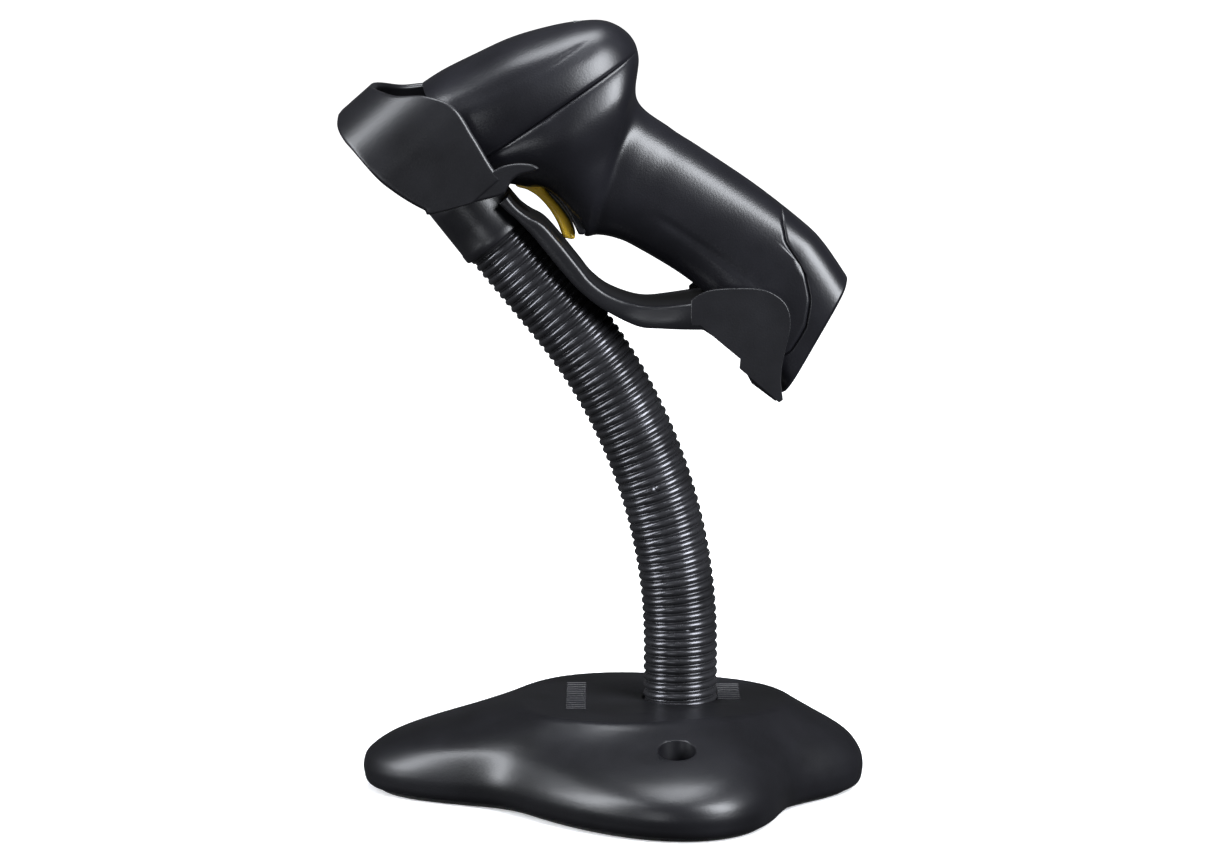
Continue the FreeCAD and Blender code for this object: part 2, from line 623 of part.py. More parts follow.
def scan_engine():
    window = head_block("WindowPlate", (3.4, 0, 0), (1.6, 38.0, 20.6))
    piece(window, "scan_window")
    frame = head_block("BezelBlock", (5.25, 0, 0), (2.0, 38.0, 21.0))
    hole = head_block("BezelHole", (5.25, 0, 0), (4.0, 34.0, 16.6))
    piece(cut("BezelCut", frame, hole), "window_frame")

    chassis = tray("Chassis", (24.4, 0, -1.0), (34.0, 38.0, 17.0), 1.6)
    front = head_block("ChassisFront", (8.0, 0, 3.0), (6.0, 36.0, 12.0))
    laser_hole = cylinder("LaserSeat", head_at(20, 14, -1.5), tuple(HEAD_BACK), Radius=3.3, Height=30)
    pivot_hole = cylinder("MirrorPinSeat", head_at(33.6, 0, -12), tuple(HEAD_UP), Radius=0.8, Height=8)
    piece(cut("ChassisCut", chassis, fuse("ChassisTools", [front, laser_hole, pivot_hole])), "engine_chassis")
    piece(cylinder("LaserBarrel", head_at(33, 14, -1.5), tuple(HEAD_BACK), Radius=3.25, Height=13),
          "laser_module")
    mirror = head_block("MirrorGlass", (32.0, 0, 0.2), (1.0, 15.0, 10.0))
    piece(mirror, "scan_mirror")
    back = head_block("MirrorBack", (33.6, 0, 0.2), (2.0, 8.0, 8.0))
    spindle = cylinder("MirrorSpindle", head_at(33.6, 0, -9.2), tuple(HEAD_UP), Radius=0.75, Height=6.0)
    magnet = head_block("MirrorMagnet", (35.6, 0, 0.2), (2.0, 5.0, 5.0))
    piece(fuse("MirrorCarrier", [back, spindle, magnet]), "mirror_carrier")
    coil = cylinder("CoilOutside", head_at(38.4, 0, 0.2), tuple(HEAD_BACK), Radius=4.0, Height=1.0)
    piece(coil, "drive_coil")
    lens = cylinder("CollectorDisc", head_at(10.0, -10.4, -1.0), tuple(HEAD_BACK), Radius=5.5, Height=2.2)
    piece(lens, "collector_lens")
    piece(head_block("SensorBoard", (14.5, -10.4, -0.5), (1.2, 13.0, 12.0)), "sensor_board")
    piece(head_block("EngineBoard", (26.0, 0, 8.35), (35.0, 33.0, 1.6)), "engine_board")
    chips = [head_block(f"EngineChip{n}", (back, side, 9.9), (7.0, 7.0, 1.4))
             for n, (back, side) in enumerate(((18, -10), (18, 8), (33, -8), (33, 7)))]
    piece(group("EngineChips", chips), "engine_chips")
    screws = []
    for n, (back, side) in enumerate(((11.5, -13.5), (11.5, 13.5), (40.5, -13.5), (40.5, 13.5))):
        head = cylinder(f"BoardScrewHead{n}", head_at(back, side, 9.2), tuple(HEAD_UP), Radius=2.0, Height=1.2)
        screws.append(head)
    piece(group("BoardScrews", screws), "board_screws")
    piece(block("LightPipe", (LENS[0], 0, LENS[1]), (8.6, 3.6, 3.4)), "indicator_lens")


def grip_at(along, side, up):
    """From the middle of the grip: along it towards the butt, sideways, and towards its back."""
    middle = Vector(4.0, 0, 204.5)
    away = Vector(sin(radians(34.5)), 0, cos(radians(34.5)))
    return tuple(middle + GRIP * along + Vector(0, side, 0) + away * up)


def grip_parts():
    board = block("MainBoardBlank", grip_at(4, 0, 7.5), (66.0, 22.0, 1.6), 34.5)
    piece(board, "main_board")
    chips = [block(f"MainChip{n}", grip_at(along, side, 9.5), sides, 34.5)
             for n, (along, side, sides) in enumerate(((-16, 0, (10, 10, 1.8)), (4, 4, (8, 6, 1.6)),
                                                        (22, -3, (9, 9, 1.8))))]
    piece(group("MainChips", chips), "main_board_chips")
    piece(cylinder("BeeperCan", grip_at(16, 0, 0.8), (sin(radians(34.5)), 0, cos(radians(34.5))),
                   Radius=5.0, Height=5.6), "beeper")
    jack = block("JackBlock", butt_point(-9.4, 0, 0), (13.0, 15.4, 12.4), 28.6)
    mouth = block("JackMouth", butt_point(-7.4, 0, 0), (14.0, 12.0, 9.0), 28.6)
    piece(cut("JackCut", jack, mouth), "cable_jack")
    pins = [block(f"JackPin{n}", butt_point(-10.0, -4.5 + n * 1.0, -3.6), (7.6, 0.4, 0.6), 28.6)
            for n in range(10)]
    piece(group("JackPins", pins), "jack_contacts")
    screws = []
    for n, (x, z) in enumerate(HOUSING_SCREWS):
        head = cylinder(f"GripScrewHead{n}", (x, 8.05, z), (0, 1, 0), Radius=2.7, Height=1.8)
        shank = cylinder(f"GripScrewShank{n}", (x, -7.5, z), (0, 1, 0), Radius=1.4, Height=15.6)
        screws.append(fuse(f"GripScrew{n}", [head, shank]))
    piece(group("GripScrews", screws), "grip_screws")


def trigger_parts():
    trigger = new_body("TriggerBody")
    outline = [(-57.0, 211.9), (-50.4, 209.0), (-45.2, 204.2), (-41.6, 199.0), (-39.9, 194.9), (-36.6, 194.2),
               (-38.0, 199.5), (-41.6, 205.0), (-46.4, 210.6), (-49.0, 216.6), (-51.6, 218.9), (-54.2, 217.4),
               (-56.9, 214.0)]
    side_pad(trigger, "TriggerBlade", outline, "[trigger_width]", corners=(0, 4, 5))
    bore = cylinder("TriggerBore", (PIVOT[0], -20, PIVOT[1]), (0, 1, 0), Radius=1.55, Height=40)
    piece(cut("TriggerCut", trigger, bore), "trigger")
    piece(cylinder("TriggerPinRod", (PIVOT[0], -13.0, PIVOT[1]), (0, 1, 0), Radius=1.49, Height=26),
          "trigger_pin")

    press = Vector(0.76, 0, 0.65)            # the way the blade pushes the switch
    contact = Vector(-39.5, 0, 202.2)
    case = block("SwitchBlock", tuple(contact + press * 5.95), (6.0, 6.4, 11.0), PRESS_TURN)
    pocket = block("SwitchPocket", tuple(contact + press * 4.45), (4.2, 2.8, 2.8), PRESS_TURN)
    piece(cut("SwitchCase", case, pocket), "trigger_switch")
    piece(block("SwitchButton", tuple(contact + press * 2.05), (3.4, 2.4, 2.4), PRESS_TURN), "switch_button")

    spring = doc.addObject("Part::Feature", "TorsionSpring")
    wire_radius, coil_radius, pitch, turns = 0.22, 1.9, 0.6, 2
    path = Part.makeHelix(pitch, pitch * turns, coil_radius)
    profile = Part.Wire(Part.Circle(Vector(coil_radius, 0, 0), Vector(0, 1, 0), wire_radius).toShape())
    spring.Shape = Part.Wire(path).makePipeShell([profile], True, True)
    spring.Placement = Placement(Vector(PIVOT[0], 7.85, PIVOT[1]), aim((0, 1, 0)))
    piece(spring, "trigger_spring")


def finish():
    doc.recompute()
    for thing in doc.Objects:
        bad = [word for word in thing.State if word in ("Invalid", "Error")]
        if bad:
            raise RuntimeError(f"{thing.Name} did not build: {bad}")
    for thing in made:
        if thing.Shape.isNull() or not thing.Shape.isValid() or not thing.Shape.Solids:
            raise RuntimeError(f"{thing.Label} is not a valid solid")
    os.makedirs("parts", exist_ok=True)
    for old in os.listdir("parts"):
        os.remove(os.path.join("parts", old))
    for thing in made:
        thing.Shape.exportStep(f"parts/{thing.Label}.step")
        print(thing.Label, len(thing.Shape.Solids), round(thing.Shape.Volume, 1))


base_parts()
neck_parts()
holder_parts()
scanner_shells()
scan_engine()
grip_parts()
trigger_parts()
finish()
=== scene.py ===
import bpy
import bmesh
import json
from math import cos, exp, pi, radians, sin, sqrt
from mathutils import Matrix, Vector
from mathutils.geometry import tessellate_polygon


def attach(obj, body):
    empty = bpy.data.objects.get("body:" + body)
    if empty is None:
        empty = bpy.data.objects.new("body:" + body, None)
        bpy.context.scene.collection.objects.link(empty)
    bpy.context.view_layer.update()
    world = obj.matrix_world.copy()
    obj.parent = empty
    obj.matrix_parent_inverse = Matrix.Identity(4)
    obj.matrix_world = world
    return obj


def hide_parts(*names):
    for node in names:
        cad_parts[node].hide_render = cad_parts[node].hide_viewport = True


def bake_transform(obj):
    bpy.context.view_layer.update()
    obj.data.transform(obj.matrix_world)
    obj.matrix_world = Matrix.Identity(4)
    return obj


# A pistol-grip barcode scanner resting in its gooseneck stand.
# Shapes are in millimetres until mesh() turns them into metres; the camera and the lights are in metres.

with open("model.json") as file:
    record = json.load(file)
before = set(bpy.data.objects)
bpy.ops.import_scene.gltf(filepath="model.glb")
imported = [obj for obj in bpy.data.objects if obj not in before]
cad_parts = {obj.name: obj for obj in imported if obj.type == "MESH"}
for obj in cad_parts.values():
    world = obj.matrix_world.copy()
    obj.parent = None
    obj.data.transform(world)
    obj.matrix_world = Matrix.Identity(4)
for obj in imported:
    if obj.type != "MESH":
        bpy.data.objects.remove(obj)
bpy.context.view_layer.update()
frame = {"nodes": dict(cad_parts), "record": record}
MM = 0.001

# ---------------------------------------------------------------- camera, light and stage

CAMERA_DISTANCE = 1.5
CAMERA_HEIGHT = 0.357
AIM_AT = Vector((-0.02465, 0.0, 0.12675))
LENS = 128.84


def make_camera():
    data = bpy.data.cameras.new("camera")
    data.lens = LENS
    data.sensor_width = 36.0
    camera = bpy.data.objects.new("camera", data)
    bpy.context.scene.collection.objects.link(camera)
    camera.location = (AIM_AT.x, -CAMERA_DISTANCE, CAMERA_HEIGHT)
    camera.rotation_euler = (AIM_AT - camera.location).to_track_quat("-Z", "Y").to_euler()
    bpy.context.scene.camera = camera


def area_light(name, place, target, size, power):
    data = bpy.data.lights.new(name, "AREA")
    data.shape = "RECTANGLE"
    data.size, data.size_y = size
    data.energy = power
    light = bpy.data.objects.new(name, data)
    bpy.context.scene.collection.objects.link(light)
    light.location = place
    light.rotation_euler = (Vector(target) - Vector(place)).to_track_quat("-Z", "Y").to_euler()


def make_light():
    world = bpy.data.worlds.new("studio")
    world.use_nodes = True
    world.node_tree.nodes["Background"].inputs["Color"].default_value = (0.95, 0.97, 1.0, 1.0)
    world.node_tree.nodes["Background"].inputs["Strength"].default_value = 0.05
    bpy.context.scene.world = world
    area_light("right_softbox", (0.88, -0.78, 0.78), (0.0, 0.0, 0.17), (0.7, 1.1), 48)
    area_light("left_softbox", (-1.14, -0.34, 0.60), (0.0, 0.0, 0.17), (0.4, 1.2), 24)
    area_light("top_softbox", (-0.05, 0.05, 1.3), (0, 0, 0.15), (0.8, 0.45), 14)
    area_light("low_fill", (-0.55, -0.95, 0.06), (-0.05, 0.0, 0.2), (0.35, 0.35), 1.5)
    for light in bpy.data.lights:
        light.color = (0.92, 0.95, 1.0)
    bpy.context.scene.view_settings.view_transform = "Standard"


def unseen_by_light(thing):
    """The stage is seen, but adds no light and no reflection of its own."""
    thing.visible_glossy = False
    thing.visible_diffuse = False


def make_stage():
    bpy.ops.mesh.primitive_plane_add(size=60, location=(0, 0, 0))
    floor = bpy.context.object
    floor.name = "floor"
    material = new_material("floor_white_painted_shadow")
    n = Nodes(material)
    n.shader.inputs["Base Color"].default_value = (0.9, 0.9, 0.9, 1)
    n.shader.inputs["Roughness"].default_value = 0.7
    n.shader.inputs["Specular IOR Level"].default_value = 0.0
    n.shader.inputs["Emission Color"].default_value = (1.0, 1.0, 1.0, 1)
    # The floor glows less near the stand: a painted contact shadow darkens it round the base and fades to
    # full white about 0.42 m out.
    distance = n.add("ShaderNodeVectorMath", operation="LENGTH")
    n.join(n.add("ShaderNodeTexCoord").outputs["Object"], distance.inputs[0])
    share = n.add("ShaderNodeMath", operation="MULTIPLY", use_clamp=True)
    share.inputs[1].default_value = 2.4
    n.join(distance.outputs["Value"], share.inputs[0])
    n.join(n.spread(share.outputs["Value"], 0.10, 1.1), n.shader.inputs["Emission Strength"])
    floor.data.materials.append(material)
    unseen_by_light(floor)

    bpy.ops.mesh.primitive_uv_sphere_add(segments=48, ring_count=24, radius=29, location=(0, 0, 0))
    backdrop = bpy.context.object
    backdrop.name = "backdrop"
    backdrop.visible_shadow = False
    backdrop.visible_transmission = False
    paper = new_material("backdrop_white")
    shader = paper.node_tree.nodes["Principled BSDF"]
    shader.inputs["Base Color"].default_value = (0.0, 0.0, 0.0, 1)
    shader.inputs["Specular IOR Level"].default_value = 0.0
    shader.inputs["Emission Color"].default_value = (1.0, 1.0, 1.0, 1)
    shader.inputs["Emission Strength"].default_value = 1.0
    backdrop.data.materials.append(paper)
    unseen_by_light(backdrop)


# ---------------------------------------------------------------- materials


def new_material(name):
    material = bpy.data.materials.new(name)
    material.use_nodes = True
    return material


class Nodes:
    """A short way to add and join a material's nodes."""

    def __init__(self, material):
        self.tree = material.node_tree
        self.shader = self.tree.nodes["Principled BSDF"]

    def add(self, kind, **values):
        node = self.tree.nodes.new(kind)
        for name, value in values.items():
            if hasattr(node, name) and not name[0].isupper():
                setattr(node, name, value)
            else:
                node.inputs[name.replace("_", " ")].default_value = value
        return node

    def join(self, source, target):
        self.tree.links.new(source, target)

    def ramp(self, source, stops):
        node = self.add("ShaderNodeValToRGB")
        elements = node.color_ramp.elements
        while len(elements) < len(stops):
            elements.new(0.5)
        for element, (place, colour) in zip(elements, stops):
            element.position = place
            element.color = (*colour, 1) if len(colour) == 3 else colour
        self.join(source, node.inputs["Fac"])
        return node.outputs["Color"]

    def spread(self, source, low, high):
        """Maps 0..1 to low..high."""
        node = self.add("ShaderNodeMapRange")
        node.inputs["To Min"].default_value = low
        node.inputs["To Max"].default_value = high
        self.join(source, node.inputs["Value"])
        return node.outputs["Result"]


def grey(value, blue=0.0):
    return (value, value, value + blue)


def moulded(name, dark, light, rough, grain=2600.0, depth=0.12, coat=0.0):
    """Moulded plastic: fine spark-eroded grain, slow colour drift, edges painted paler both for rubbed wear
    and as a painted edge highlight.
    """
    material = new_material(name)
    n = Nodes(material)
    place = n.add("ShaderNodeTexCoord").outputs["Object"]
    drift = n.add("ShaderNodeTexNoise", Scale=45.0, Detail=4.0)
    n.join(place, drift.inputs["Vector"])
    fine = n.add("ShaderNodeTexNoise", Scale=grain, Detail=2.0, Roughness=0.6)
    n.join(place, fine.inputs["Vector"])
    pores = n.add("ShaderNodeTexVoronoi", Scale=grain * 0.55)
    n.join(place, pores.inputs["Vector"])
    body = n.ramp(drift.outputs["Fac"], [(0.3, dark), (0.75, light)])
    # Edges are painted paler from pointiness: partly rubbed wear, partly a painted highlight along the edges'
    # radii.
    edges = n.add("ShaderNodeNewGeometry")
    wear_and_edge_highlight = n.ramp(edges.outputs["Pointiness"], [(0.52, (0, 0, 0)), (0.62, (1, 1, 1))])
    mix = n.add("ShaderNodeMixRGB", blend_type="MIX")
    faint = n.spread(wear_and_edge_highlight, 0.0, 0.2)
    n.join(faint, mix.inputs["Fac"])
    n.join(body, mix.inputs["Color1"])
    mix.inputs["Color2"].default_value = (*[min(1.0, c * 2.6 + 0.01) for c in light], 1)
    n.join(mix.outputs["Color"], n.shader.inputs["Base Color"])
    mottled = n.spread(drift.outputs["Fac"], rough - 0.05, rough + 0.06)
    n.join(mottled, n.shader.inputs["Roughness"])
    heights = n.add("ShaderNodeMath", operation="ADD")
    n.join(fine.outputs["Fac"], heights.inputs[0])
    n.join(pores.outputs["Distance"], heights.inputs[1])
    bump = n.add("ShaderNodeBump", Strength=depth, Distance=0.0002)
    n.join(heights.outputs["Value"], bump.inputs["Height"])
    n.join(bump.outputs["Normal"], n.shader.inputs["Normal"])
    n.shader.inputs["Coat Weight"].default_value = coat
    n.shader.inputs["Coat Roughness"].default_value = 0.2
    return material


def metal(name, dark, light, rough, stretch=(1, 1, 1), metallic=1.0, scale=300.0, depth=0.1):
    """Metal with drawn or turned marks and a little tarnish."""
    material = new_material(name)
    n = Nodes(material)
    place = n.add("ShaderNodeTexCoord").outputs["Object"]
    marks = n.add("ShaderNodeMapping")
    marks.inputs["Scale"].default_value = stretch
    n.join(place, marks.inputs["Vector"])
    streaks = n.add("ShaderNodeTexNoise", Scale=scale, Detail=5.0)
    n.join(marks.outputs["Vector"], streaks.inputs["Vector"])
    tarnish = n.add("ShaderNodeTexNoise", Scale=60.0, Detail=3.0)
    n.join(place, tarnish.inputs["Vector"])
    n.join(n.ramp(tarnish.outputs["Fac"], [(0.35, dark), (0.7, light)]), n.shader.inputs["Base Color"])
    n.join(n.spread(streaks.outputs["Fac"], rough - 0.08, rough + 0.1), n.shader.inputs["Roughness"])
    bump = n.add("ShaderNodeBump", Strength=depth, Distance=0.0001)
    n.join(streaks.outputs["Fac"], bump.inputs["Height"])
    n.join(bump.outputs["Normal"], n.shader.inputs["Normal"])
    n.shader.inputs["Metallic"].default_value = metallic
    return material


def tinted(name, colour, rough, transmission):
    material = new_material(name)
    n = Nodes(material)
    place = n.add("ShaderNodeTexCoord").outputs["Object"]
    haze = n.add("ShaderNodeTexNoise", Scale=80.0, Detail=3.0)
    n.join(place, haze.inputs["Vector"])
    paler = tuple(min(1.0, c * 1.25 + 0.01) for c in colour)
    n.join(n.ramp(haze.outputs["Fac"], [(0.3, colour), (0.8, paler)]), n.shader.inputs["Base Color"])
    n.join(n.spread(haze.outputs["Fac"], rough, rough + 0.06), n.shader.inputs["Roughness"])
    n.shader.inputs["Transmission Weight"].default_value = transmission
    n.shader.inputs["IOR"].default_value = 1.49
    return material


def make_materials():
    return {
        "housing_black": moulded("housing_black", grey(0.0045, 0.0015), grey(0.009, 0.003), 0.33,
                                 depth=0.10),
        "stand_black": moulded("stand_black", grey(0.004, 0.001), grey(0.008, 0.002), 0.35, depth=0.10),
        "coil_black": metal("coil_black", grey(0.035, 0.003), grey(0.07, 0.007), 0.25, metallic=0.7,
                            depth=0.02),
        "liner_steel": metal("liner_steel", grey(0.12), grey(0.2), 0.4),
        "zinc_steel": metal("zinc_steel", (0.42, 0.42, 0.40), (0.62, 0.62, 0.58), 0.32),
        "weight_iron": metal("weight_iron", grey(0.05), grey(0.11), 0.6, metallic=0.6, depth=0.5),
        "rubber_black": moulded("rubber_black", grey(0.008), grey(0.014), 0.75, grain=1400.0, depth=0.3),
        "trigger_yellow": moulded("trigger_yellow", (0.95, 0.58, 0.03), (1.0, 0.66, 0.05), 0.24,
                                  grain=3000.0, depth=0.02, coat=0.6),
        "window_red": tinted("window_red", (0.09, 0.004, 0.008), 0.04, 0.6),
        "chassis_metal": metal("chassis_metal", grey(0.35), grey(0.5), 0.45, depth=0.3),
        "laser_brass": metal("laser_brass", (0.55, 0.36, 0.12), (0.7, 0.5, 0.2), 0.25, stretch=(1, 20, 1)),
        "mirror_silver": metal("mirror_silver", grey(0.8), grey(0.9), 0.1, depth=0.02),
        "grey_plastic": moulded("grey_plastic", grey(0.11), grey(0.16), 0.5),
        "board_green": moulded("board_green", (0.008, 0.09, 0.03), (0.015, 0.15, 0.05), 0.35, grain=900.0,
                               depth=0.2, coat=0.4),
        "chip_black": moulded("chip_black", grey(0.02), grey(0.03), 0.5),
        "coil_copper": metal("coil_copper", (0.5, 0.2, 0.08), (0.65, 0.3, 0.12), 0.3, stretch=(1, 1, 30)),
        "lens_clear": tinted("lens_clear", (0.75, 0.8, 0.76), 0.08, 0.85),
        "jack_black": moulded("jack_black", grey(0.012), grey(0.02), 0.3, depth=0.05),
        "contact_gold": metal("contact_gold", (0.75, 0.52, 0.2), (0.85, 0.65, 0.3), 0.22),
    }


def dress_frame(materials):
    """Every CAD node takes its slot's material."""
    for row in frame["record"]["subparts"]:
        node = frame["nodes"][row["node"]]
        node.data.materials.clear()
        node.data.materials.append(materials[row["material_slot"]])


# ---------------------------------------------------------------- mesh helpers


def mesh(name, points, faces, material, smooth=True):
    """A new object from points in millimetres."""
    data = bpy.data.meshes.new(name)
    data.from_pydata([Vector(p) * MM for p in points], [], faces)
    data.update()
    if smooth:
        data.polygons.foreach_set("use_smooth", [True] * len(data.polygons))
    thing = bpy.data.objects.new(name, data)
    bpy.context.scene.collection.objects.link(thing)
    data.materials.append(material)
    return thing


def grid_faces(rows, columns, wrap_rows=False, wrap_columns=False):
    faces = []
    for i in range(rows if wrap_rows else rows - 1):
        for j in range(columns if wrap_columns else columns - 1):
            i2, j2 = (i + 1) % rows, (j + 1) % columns
            faces.append((i * columns + j, i * columns + j2, i2 * columns + j2, i2 * columns + j))
    return faces


def outward(thing):
    """Points every face's normal out of its closed mesh."""
    work = bmesh.new()
    work.from_mesh(thing.data)
    bmesh.ops.remove_doubles(work, verts=work.verts, dist=1e-7)
    bmesh.ops.recalc_face_normals(work, faces=work.faces)
    work.to_mesh(thing.data)
    work.free()
    return thing


def apply_modifiers(thing):
    """Bakes an object's modifiers into its mesh."""
    depsgraph = bpy.context.evaluated_depsgraph_get()
    data = bpy.data.meshes.new_from_object(thing.evaluated_get(depsgraph))
    thing.modifiers.clear()
    thing.data = data
    return thing


def closed_tube(name, rings, material):
    """A closed mesh through rings of points, with a flat face at both ends."""
    count = len(rings[0])
    faces = grid_faces(len(rings), count, wrap_columns=True)
    faces.append(tuple(range(count)))
    faces.append(tuple((len(rings) - 1) * count + k for k in range(count)))
    return outward(mesh(name, [p for ring in rings for p in ring], faces, material))


def trim_above(thing, place, normal):
    """Cuts a closed mesh off above a plane and fills the cut."""
    work = bmesh.new()
    work.from_mesh(thing.data)
    everything = work.verts[:] + work.edges[:] + work.faces[:]
    cut = bmesh.ops.bisect_plane(work, geom=everything, plane_co=place * MM, plane_no=normal,
                                 clear_outer=True)
    edges = [g for g in cut["geom_cut"] if isinstance(g, bmesh.types.BMEdge)]
    bmesh.ops.holes_fill(work, edges=edges)
    work.to_mesh(thing.data)
    work.free()


def finish_piece(thing, body, slot, *replaced):
    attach(thing, body)
    if replaced:
        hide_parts(*replaced)
    return thing


# ---------------------------------------------------------------- gooseneck

PLATEAU = 32.0
BEND_START = 51.0
BEND_RADIUS = 185.0
BEND_TURN = radians(39.2)
STRAIGHT_TAIL = 33.3
JOINT_COUNT = 7
COIL_RADIUS = 13.0
WIRE_RADIUS = 1.28
WIRE_PITCH = 3.1
WIRE_SIDES = 12
STEPS_PER_TURN = 40
WEDGE_WIRE = [(-1.5, -0.75), (-1.5, 0.75), (-0.2, 0.62), (0.55, 0.25), (0.55, -0.25), (-0.2, -0.62)]
FOOT_BELOW, TOP_INSIDE = 2.0, 9.0        # how far the wires run on into the base and into the socket
END_JOINT_INSET = 13.0


def neck_frame(travel):
    """Place on the neck's centre line, its direction, and the direction across it in the XZ plane."""
    straight = BEND_START - PLATEAU
    arc = BEND_RADIUS * BEND_TURN
    if travel <= straight:
        place, angle = Vector((0, 0, PLATEAU + travel)), 0.0
    elif travel <= straight + arc:
        angle = (travel - straight) / BEND_RADIUS
        place = Vector((-BEND_RADIUS * (1 - cos(angle)), 0, BEND_START + BEND_RADIUS * sin(angle)))
    else:
        angle = BEND_TURN
        rest = travel - straight - arc
        place = Vector((-BEND_RADIUS * (1 - cos(angle)) - sin(angle) * rest, 0,
                        BEND_START + BEND_RADIUS * sin(angle) + cos(angle) * rest))
    return place, Vector((-sin(angle), 0, cos(angle))), Vector((cos(angle), 0, sin(angle)))


NECK_LENGTH = BEND_START - PLATEAU + BEND_RADIUS * BEND_TURN + STRAIGHT_TAIL


def joint_travel(number):
    first, last = END_JOINT_INSET, NECK_LENGTH - END_JOINT_INSET
    return first + (last - first) * (number - 1) / (JOINT_COUNT - 1)


def helix(name, start, end, centre_radius, section, phase, material):
    """A wire wound round the neck's centre line: section is its outline as (outwards, along)."""
    first = int(round(start / WIRE_PITCH * STEPS_PER_TURN))
    last = int(round(end / WIRE_PITCH * STEPS_PER_TURN))
    points = []
    for k in range(first, last + 1):
        travel = k * WIRE_PITCH / STEPS_PER_TURN
        angle = 2 * pi * k / STEPS_PER_TURN + phase
        place, along, across = neck_frame(travel)
        out = across * cos(angle) + Vector((0, 1, 0)) * sin(angle)
        for u, v in section:
            points.append(place + out * (centre_radius + u) + along * v)
    count = len(section)
    faces = grid_faces(last - first + 1, count, wrap_columns=True)
    faces.append(tuple(range(count)))
    faces.append(tuple((last - first) * count + j for j in reversed(range(count))))
    return outward(mesh(name, points, faces, material))


def make_neck(materials):
    black = materials["coil_black"]
    turns = [2 * pi * k / WIRE_SIDES for k in range(WIRE_SIDES)]
    round_wire = [(WIRE_RADIUS * cos(turn), WIRE_RADIUS * sin(turn)) for turn in turns]
    names = ["base"] + [f"link_{k}" for k in range(1, JOINT_COUNT)] + ["holder"]
    spacing = joint_travel(2) - joint_travel(1)
    for number in range(1, JOINT_COUNT + 1):
        middle = joint_travel(number)
        low = middle - spacing / 2 if number > 1 else -FOOT_BELOW
        high = middle + spacing / 2 if number < JOINT_COUNT else NECK_LENGTH + TOP_INSIDE
        radius = COIL_RADIUS - WIRE_RADIUS
        pieces = [helix(f"neck_round_wire_{number}", low, high, radius, round_wire, 0.0, black),
                  helix(f"neck_wedge_wire_{number}", low, high, radius, WEDGE_WIRE, pi, black)]
        for piece in pieces:
            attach(piece, names[number - 1])
            piece.parent = None
            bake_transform(piece)
        stands_for = ["neck_coil_0", "neck_coil_1"] if number == 1 else [f"neck_coil_{number}"]
        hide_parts(*stands_for)


# ---------------------------------------------------------------- base

MOUNT_ALONG, MOUNT_ACROSS = -2.0, 58.0
LOBES = (75.7, 5.9, 0.8, -10.0, 7.9, 2.1, 3.3)
CROWN = (45.4, -6.0, 3.5, 1.5, -0.9)
BASE_CENTRE = -21.5
CROWN_CENTRE = BASE_CENTRE + 16.0
# Height, share of the way from the rim's outline to the crown's, and inset from that outline.
BASE_SKIN = [(1.6, 0.0, 3.4), (1.8, 0.0, 2.0), (3.0, 0.0, 0.9), (5.0, 0.0, 0.3), (9.0, 0.0, 0.0),
             (13.5, 0.03, 0.3), (18.5, 0.17, 0.0), (22.5, 0.37, 0.0), (26.5, 0.64, 0.0), (29.7, 0.86, 0.0),
             (31.3, 0.96, 0.3), (31.9, 1.0, 1.4), (32.0, 1.0, 4.0), (32.0, 1.0, 10.0), (32.0, 1.0, 20.0)]
BASE_STEPS = 90
NECK_WELL = ((13.6, 32.0), (13.3, 31.6), (13.3, 29.0))       # radius and height of the ring round the neck
MOUNT_BORES = ((6.4, 9.2, 40.0), (2.6, -5.0, 12.0))          # radius, bottom and top of each round cut
# Each patch of ribs: its middle along X, its first rib's Y, the ribs' length and their number.
RIB_PATCHES = ((-36.5, -20.0, 7.0, 15), (17.0, -4.0, 8.0, 9))
RIB_SPACING, RIB_WIDTH = 3.0, 1.5
RIB_LAYERS = ((31.8, 0.0), (32.1, 0.0), (32.3, 0.25))        # height, and inset from the rib's outline


def lobe_point(angle, up, inset):
    low = sum(c * cos(n * angle) for n, c in enumerate(LOBES)) - inset
    high = sum(c * cos(n * angle) for n, c in enumerate(CROWN)) - inset * 0.8
    x = (1 - up) * (BASE_CENTRE + low * cos(angle)) + up * (CROWN_CENTRE + high * cos(angle))
    return x, ((1 - up) * low + up * high) * sin(angle)


def along_curve(stops, place):
    """The Catmull-Rom point at a place along equal-length tuples: 0 is the first of them, 1 the second."""
    last = len(stops) - 1
    i = min(max(int(place), 0), last - 1)
    t = place - i
    a, b = stops[max(i - 1, 0)], stops[i]
    c, d = stops[i + 1], stops[min(i + 2, last)]
    return tuple(0.5 * (2 * q + (r - p) * t + (2 * p - 5 * q + 4 * r - s) * t * t
                        + (3 * q - p - 3 * r + s) * t ** 3)
                 for p, q, r, s in zip(a, b, c, d))


def smooth_through(stops, count):
    """count + 1 points along a list of equal-length tuples."""
    return [along_curve(stops, k * (len(stops) - 1) / count) for k in range(count + 1)]


def drill(thing, place, radius, low, high):
    """Cuts a round upright hole through a closed mesh."""
    bpy.ops.mesh.primitive_cylinder_add(vertices=64, radius=radius * MM, depth=(high - low) * MM,
                                        location=(place[0] * MM, place[1] * MM, (high + low) / 2 * MM))
    tool = bpy.context.object
    cut = thing.modifiers.new("drill", "BOOLEAN")
    cut.operation, cut.solver, cut.object = "DIFFERENCE", "EXACT", tool
    apply_modifiers(thing)
    bpy.data.objects.remove(tool, do_unlink=True)


